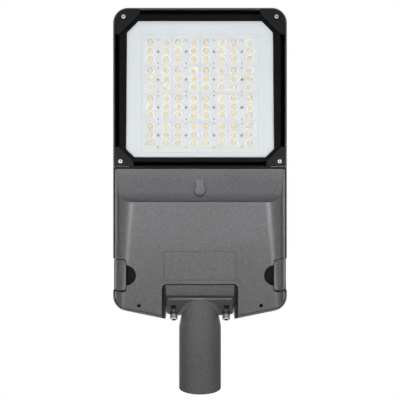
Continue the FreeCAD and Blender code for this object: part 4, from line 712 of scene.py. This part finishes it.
def buildReflector():
    # four-cornered rings run from the outer back edge over the front to the opening and back again
    low, high = boxOf("reflector_sheet")
    e = reflector["edge"]
    front = reflector["front"]
    hole = (reflector["openHalf"], reflector["openRear"], reflector["openFront"])
    rings = [rectangleRing(high[0], low[1], high[1], high[2]),
             rectangleRing(high[0], low[1], high[1], front + e),
             rectangleRing(high[0] - e, low[1] + e, high[1] - e, front),
             rectangleRing(hole[0] + e, hole[1] - e, hole[2] + e, front),
             rectangleRing(hole[0], hole[1], hole[2], front + e),
             rectangleRing(hole[0], hole[1], hole[2], high[2])]
    faces = [list(q)[::-1] for q in gridFaces(6, 4, wrapRows=True, wrapColumns=True)]
    sheet = meshPiece("reflectorFrame", np.concatenate(rings) * mm, faces, [sheetWhite], None, False)
    fixNormals(sheet)
    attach(sheet, "head")
    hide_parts("reflector_sheet")

    # board margin: flat frame between the opening and the lens field
    plates = [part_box("lens_plate_%d_%d" % (k, k)) for k in (1, 4)]
    corner = np.array([c for box in plates for c in box]) / mm
    gap = reflector["plateGap"]
    field = (np.abs(corner[:, 0]).max() + gap, corner[:, 1].min() - gap, corner[:, 1].max() + gap)
    gap = reflector["frameGap"]
    outer = (hole[0] - gap, hole[1] + gap, hole[2] - gap)
    low, top = reflector["marginLow"], reflector["marginTop"]
    ringsIn = [rectangleRing(*outer, top), rectangleRing(*outer, low),
               rectangleRing(*field, low), rectangleRing(*field, top)]
    marginFaces = [list(q)[::-1] for q in gridFaces(4, 4, wrapRows=True, wrapColumns=True)]
    margin = meshPiece("boardMargin", np.concatenate(ringsIn) * mm, marginFaces, [boardWhite], None, False)
    fixNormals(margin)
    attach(margin, "head")


buildReflector()
print("reflector built")


# screws and bolts: turned heads with a hexagon socket, and the washers under the tilt bolts
tiltBolt = {"x": 45.5, "axisY": 177.5, "axisZ": 17.0, "lean": 57.0, "seat": 52.8, "washerRadius": 8.0,
            "washerTall": 3.6, "headRadius": 6.5, "headTall": 8.0, "socket": 3.4, "socketDeep": 4.0,
            "bevel": 0.9, "shank": 3.95, "shankLong": 20.0}
clampScrew = {"radius": 3.3, "tall": 1.75, "socket": 1.25, "socketDeep": 1.1, "ringIn": 4.0, "ringOut": 8.0,
              "ringTall": 0.6, "bevel": 0.4}
lensScrew = {"radius": 2.6, "tall": 1.4, "socket": 0.75, "socketDeep": 0.8, "shank": 1.4, "bevel": 0.35}
around = 36


def capHead(radius, tall, socket, deep, bevel):
    # outline of a head from its foot to the floor of its socket; the last rows are drawn to a hexagon
    return [(radius - 0.2, 0.0), (radius, 0.2), (radius, tall - bevel),
            (radius - bevel * 0.4, tall - bevel * 0.3), (radius - bevel * 1.3, tall),
            (socket * 1.2, tall), (socket * 1.04, tall - 0.15, 1.0), (socket, tall - deep, 1.0)]


def raised(profile, lift):
    return [(row[0], row[1] + lift, *row[2:]) for row in profile]


def turnedRing(profile, count):
    # closed ring: the profile runs round on itself as well as round the axis
    rings = turned(profile, count)
    return rings.reshape(-1, 3), [list(q) for q in gridFaces(len(profile), count, True, True)]


def screwPiece(name, node, profile, places, along, steel):
    # one piece with a screw at each place; the socket's two last bands and its floor are painted black as
    # shade
    solids = [(facing(points, along, place), faces) for place in places
              for points, faces in [turnedSolid(profile, around)]]
    points, faces = joined(solids)
    size = len(solids[0][1])
    one = np.zeros(size, dtype=int)
    one[(len(profile) - 3) * around:(len(profile) - 1) * around] = 1
    one[-1] = 1
    piece = meshPiece(name, points * mm, faces, [steel, socketBlack], np.tile(one, len(places)), False)
    fixNormals(piece)
    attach(piece, "head")
    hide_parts(node)


def corners(node):
    # middle of each of the four screws of a node, found from its points, and the node's lowest level
    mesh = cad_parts[node].data
    points = np.empty(len(mesh.vertices) * 3)
    mesh.vertices.foreach_get("co", points)
    points = points.reshape(-1, 3) / mm
    split = (points[:, 1].min() + points[:, 1].max()) / 2
    found = []
    for right in (True, False):
        for ahead in (True, False):
            part = points[((points[:, 0] > 0) == right) & ((points[:, 1] > split) == ahead)]
            found.append(((part.min(axis=0) + part.max(axis=0)) / 2)[:2])
    return found, split, points[:, 2].min(), points[:, 2].max()


def buildBolts():
    lean = math.radians(tiltBolt["lean"])
    along = np.array([0, -math.sin(lean), -math.cos(lean)])
    feet = [np.array([side * tiltBolt["x"], tiltBolt["axisY"], tiltBolt["axisZ"]]) + along * tiltBolt["seat"]
            for side in (-1, 1)]
    r, h, s = tiltBolt["washerRadius"], tiltBolt["washerTall"], tiltBolt["shank"]
    long = tiltBolt["shankLong"]
    head = capHead(tiltBolt["headRadius"], tiltBolt["headTall"], tiltBolt["socket"], tiltBolt["socketDeep"],
                   tiltBolt["bevel"])
    bolt = [(s - 0.6, -long), (s, 0.6 - long), (s, h)] + raised(head, h + 0.01)
    screwPiece("tiltBoltSet", "tilt_bolts", bolt, feet, along, boltSteel)

    # flat washer with a narrower spring washer on it
    stack = [(s + 0.3, 0.05), (r - 0.3, 0.05), (r, 0.3), (r, 1.3), (r - 0.3, 1.55), (r - 1.6, 1.6),
             (r - 1.6, 1.8), (r - 1.2, 2.0), (r - 1.2, h - 0.3), (r - 1.5, h), (s + 0.3, h)]
    points, faces = turnedRing(stack, around)
    points, faces = joined([(facing(points, along, foot), faces) for foot in feet])
    washers = meshPiece("tiltWasherSet", points * mm, faces, [washerSteel], None, False)
    fixNormals(washers)
    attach(washers, "head")
    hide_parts("tilt_washers")


def buildScrews():
    down = (0, 0, -1)
    found, split, low, high = corners("clamp_screws")
    face = low + clampScrew["tall"]
    head = capHead(clampScrew["radius"], clampScrew["tall"], clampScrew["socket"], clampScrew["socketDeep"],
                   clampScrew["bevel"])
    screw = [(1.6, face - high + 0.1), (1.75, face - high + 0.5), (1.75, -0.02)] + head
    places = [(x, y, face) for x, y in found]
    screwPiece("clampScrewSet", "clamp_screws", screw, places, down, steelBright)

    # the two screws beside the cover sit in black cup washers with a raised bead
    a, b, tall = clampScrew["ringIn"], clampScrew["ringOut"], clampScrew["ringTall"]
    cup = [(a, 0.02), (b, 0.02), (b, tall * 0.4), (b - 0.5, tall * 0.5), (a + 2.6, tall * 0.5),
           (a + 2.2, tall), (a + 1.5, tall), (a + 1.1, tall * 0.5), (a, tall * 0.5)]
    points, faces = turnedRing(cup, around)
    rear = [(x, y, face) for x, y in found if y < split]
    points, faces = joined([(facing(points, down, place), faces) for place in rear])
    cups = meshPiece("clampCupWashers", points * mm, faces, [cupBlack], None, False)
    fixNormals(cups)
    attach(cups, "head")

    low, high = boxOf("lens_screws")
    middles = [(*plateCentre(spot)[:2], low[2] + lensScrew["tall"]) for spot in plateSpots]
    head = capHead(lensScrew["radius"], lensScrew["tall"], lensScrew["socket"], lensScrew["socketDeep"],
                   lensScrew["bevel"])
    foot = low[2] + lensScrew["tall"] - high[2] + 0.05
    screw = [(lensScrew["shank"], foot), (lensScrew["shank"], -0.02)] + head
    screwPiece("lensScrewSet", "lens_screws", screw, middles, down, steelGrey)


buildBolts()
buildScrews()
print("bolts and screws built")


# finger pads: a half disc of black rubber on the floor of each finger recess, put in as painted shade for the
# deep recess
def buildFingerPads():
    # ring of points round the half disc, at two levels
    angle = np.linspace(-np.pi / 2, np.pi / 2, 25)
    radius = fingerCup["radius"] / mm - 0.15
    pads = []
    for side in (-1, 1):
        x = side * (fingerCup["x"] / mm - radius * np.cos(angle))
        y = fingerCup["y"] / mm + radius * np.sin(angle)
        rings = [np.column_stack([x, y, np.full(25, fingerCup["floor"] - h)])
                 for h in (0.02, fingerCup["thick"])]
        faces = [list(q) for q in gridFaces(2, 25, wrapColumns=True)]
        faces += [list(range(25))[::-1], [25 + k for k in range(25)]]
        pads.append((np.concatenate(rings), faces))
    points, faces = joined(pads)
    piece = meshPiece("fingerPads", points * mm, faces, [rubberBlack], None, False)
    fixNormals(piece)
    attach(piece, "cover")


buildFingerPads()
print("finger pads built")


# stage, light and camera
studio = {"floorDepth": -1.75, "floorHalf": 6.0, "floorColour": (0.62, 0.62, 0.61),
          "floorSeen": (0.86, 0.86, 0.85), "floorPale": 0.7, "ambient": 0.08, "mirrored": 0.45, "lens": 50.0,
          "sensor": 36.0, "camera": (0.0, 0.331, -0.982)}
lamps = [  # name, place, target, sides, watts, spread in degrees, what it serves
    ("frontNear", (0.0, 0.10, -1.3), (0, 0.72, 0), (1.0, 0.6), 5.3, 90.0, "soft"),
    ("stripLeft", (0.72, 0.17, -1.1), (0, 0.3, 0), (0.45, 0.45), 11.0, 180.0, "gloss"),
    ("stripRight", (-0.72, 0.17, -1.1), (0, 0.3, 0), (0.45, 0.45), 11.0, 180.0, "gloss"),
    ("keyAhead", (0.0, 1.8, -1.6), (0, 0.4, 0), (1.6, 0.8), 7.0, 180.0, "both"),
    ("topAbove", (0.3, 0.0, 1.6), (0, 0.35, 0), (1.4, 1.4), 9.0, 180.0, "both"),
    ("sideLeft", (1.2, 0.3, 1.7), (0, 0.3, 0), (0.6, 1.2), 18.0, 180.0, "both"),
    ("sideRight", (-1.2, 0.3, 1.7), (0, 0.3, 0), (0.6, 1.2), 14.0, 180.0, "both"),
    ("behind", (0.3, -1.4, 0.9), (0, 0.1, 0), (1.0, 0.6), 9.0, 180.0, "both")]


def seenPale(finish):
    # 1 for the camera and through clear pieces, and a part of that in mirrors
    direct, through, glossy = (finish.add("LightPath", {}, {}, "Is %s Ray" % kind)
                               for kind in ("Camera", "Transmission", "Glossy"))
    return (direct + through + glossy * studio["mirrored"]).clip()


def buildStage():
    side = studio["floorHalf"]
    sheet = rectangleRing(side, -side, side, studio["floorDepth"])
    finish = finishNamed("paleFloor")
    cloud = finish.noise(0.7, 2.0)
    base = finish.mix(cloud.ramp(0.3, 0.7), shade(studio["floorColour"], 0.985), studio["floorColour"])
    # the camera, mirrors and clear pieces see the floor pale; the light that it throws back stays low
    seen = seenPale(finish)
    base = finish.mix(seen, shade(studio["floorColour"], 0.35), base)
    lit = finish.surface(Base_Color=base, Roughness=0.9)
    pale = finish.add("Emission", {}, {"Color": studio["floorSeen"], "Strength": 1.0})
    finish.close(finish.add("MixShader", {}, {0: seen * studio["floorPale"], 1: lit, 2: pale}))
    floor = meshPiece("paleFloor", sheet, [[0, 1, 2, 3]], [bpy.data.materials["paleFloor"]], None, False)

    world = bpy.data.worlds.new("studioWorld")
    bpy.context.scene.world = world
    sky = Finish(world)
    seen = seenPale(sky)
    ambient = sky.add("Background", {}, {"Color": (0.96, 0.98, 1.0), "Strength": studio["ambient"]})
    white = sky.add("Background", {}, {"Color": (1.0, 1.0, 1.0), "Strength": 1.0})
    sky.add("OutputWorld", {}, {"Surface": sky.add("MixShader", {}, {0: seen, 1: ambient, 2: white})})


def softBox(name, place, target, sides, watts, spread, kind):
    # kind says what the lamp serves: both, only the soft light on a surface, or only the gloss
    lamp = bpy.data.lights.new(name, "AREA")
    lamp.shape = "RECTANGLE"
    lamp.size, lamp.size_y = sides
    lamp.energy = watts
    lamp.spread = math.radians(spread)
    holder = bpy.data.objects.new(name, lamp)
    holder.visible_glossy = kind != "soft"
    holder.visible_diffuse = kind != "gloss"
    holder.location = place
    holder.rotation_euler = (Vector(target) - Vector(place)).to_track_quat("-Z", "Y").to_euler()
    bpy.context.scene.collection.objects.link(holder)


def buildCamera():
    camera = bpy.data.cameras.new("photoCamera")
    camera.lens = studio["lens"]
    camera.sensor_width = studio["sensor"]
    holder = bpy.data.objects.new("photoCamera", camera)
    holder.matrix_world = Matrix.Translation(studio["camera"]) @ Matrix.Rotation(math.pi, 4, "Y")
    bpy.context.scene.collection.objects.link(holder)
    bpy.context.scene.camera = holder


buildStage()
for lamp in lamps:
    softBox(*lamp)
buildCamera()
bpy.context.scene.view_settings.view_transform = "Standard"
print("stage, lamps and camera set")
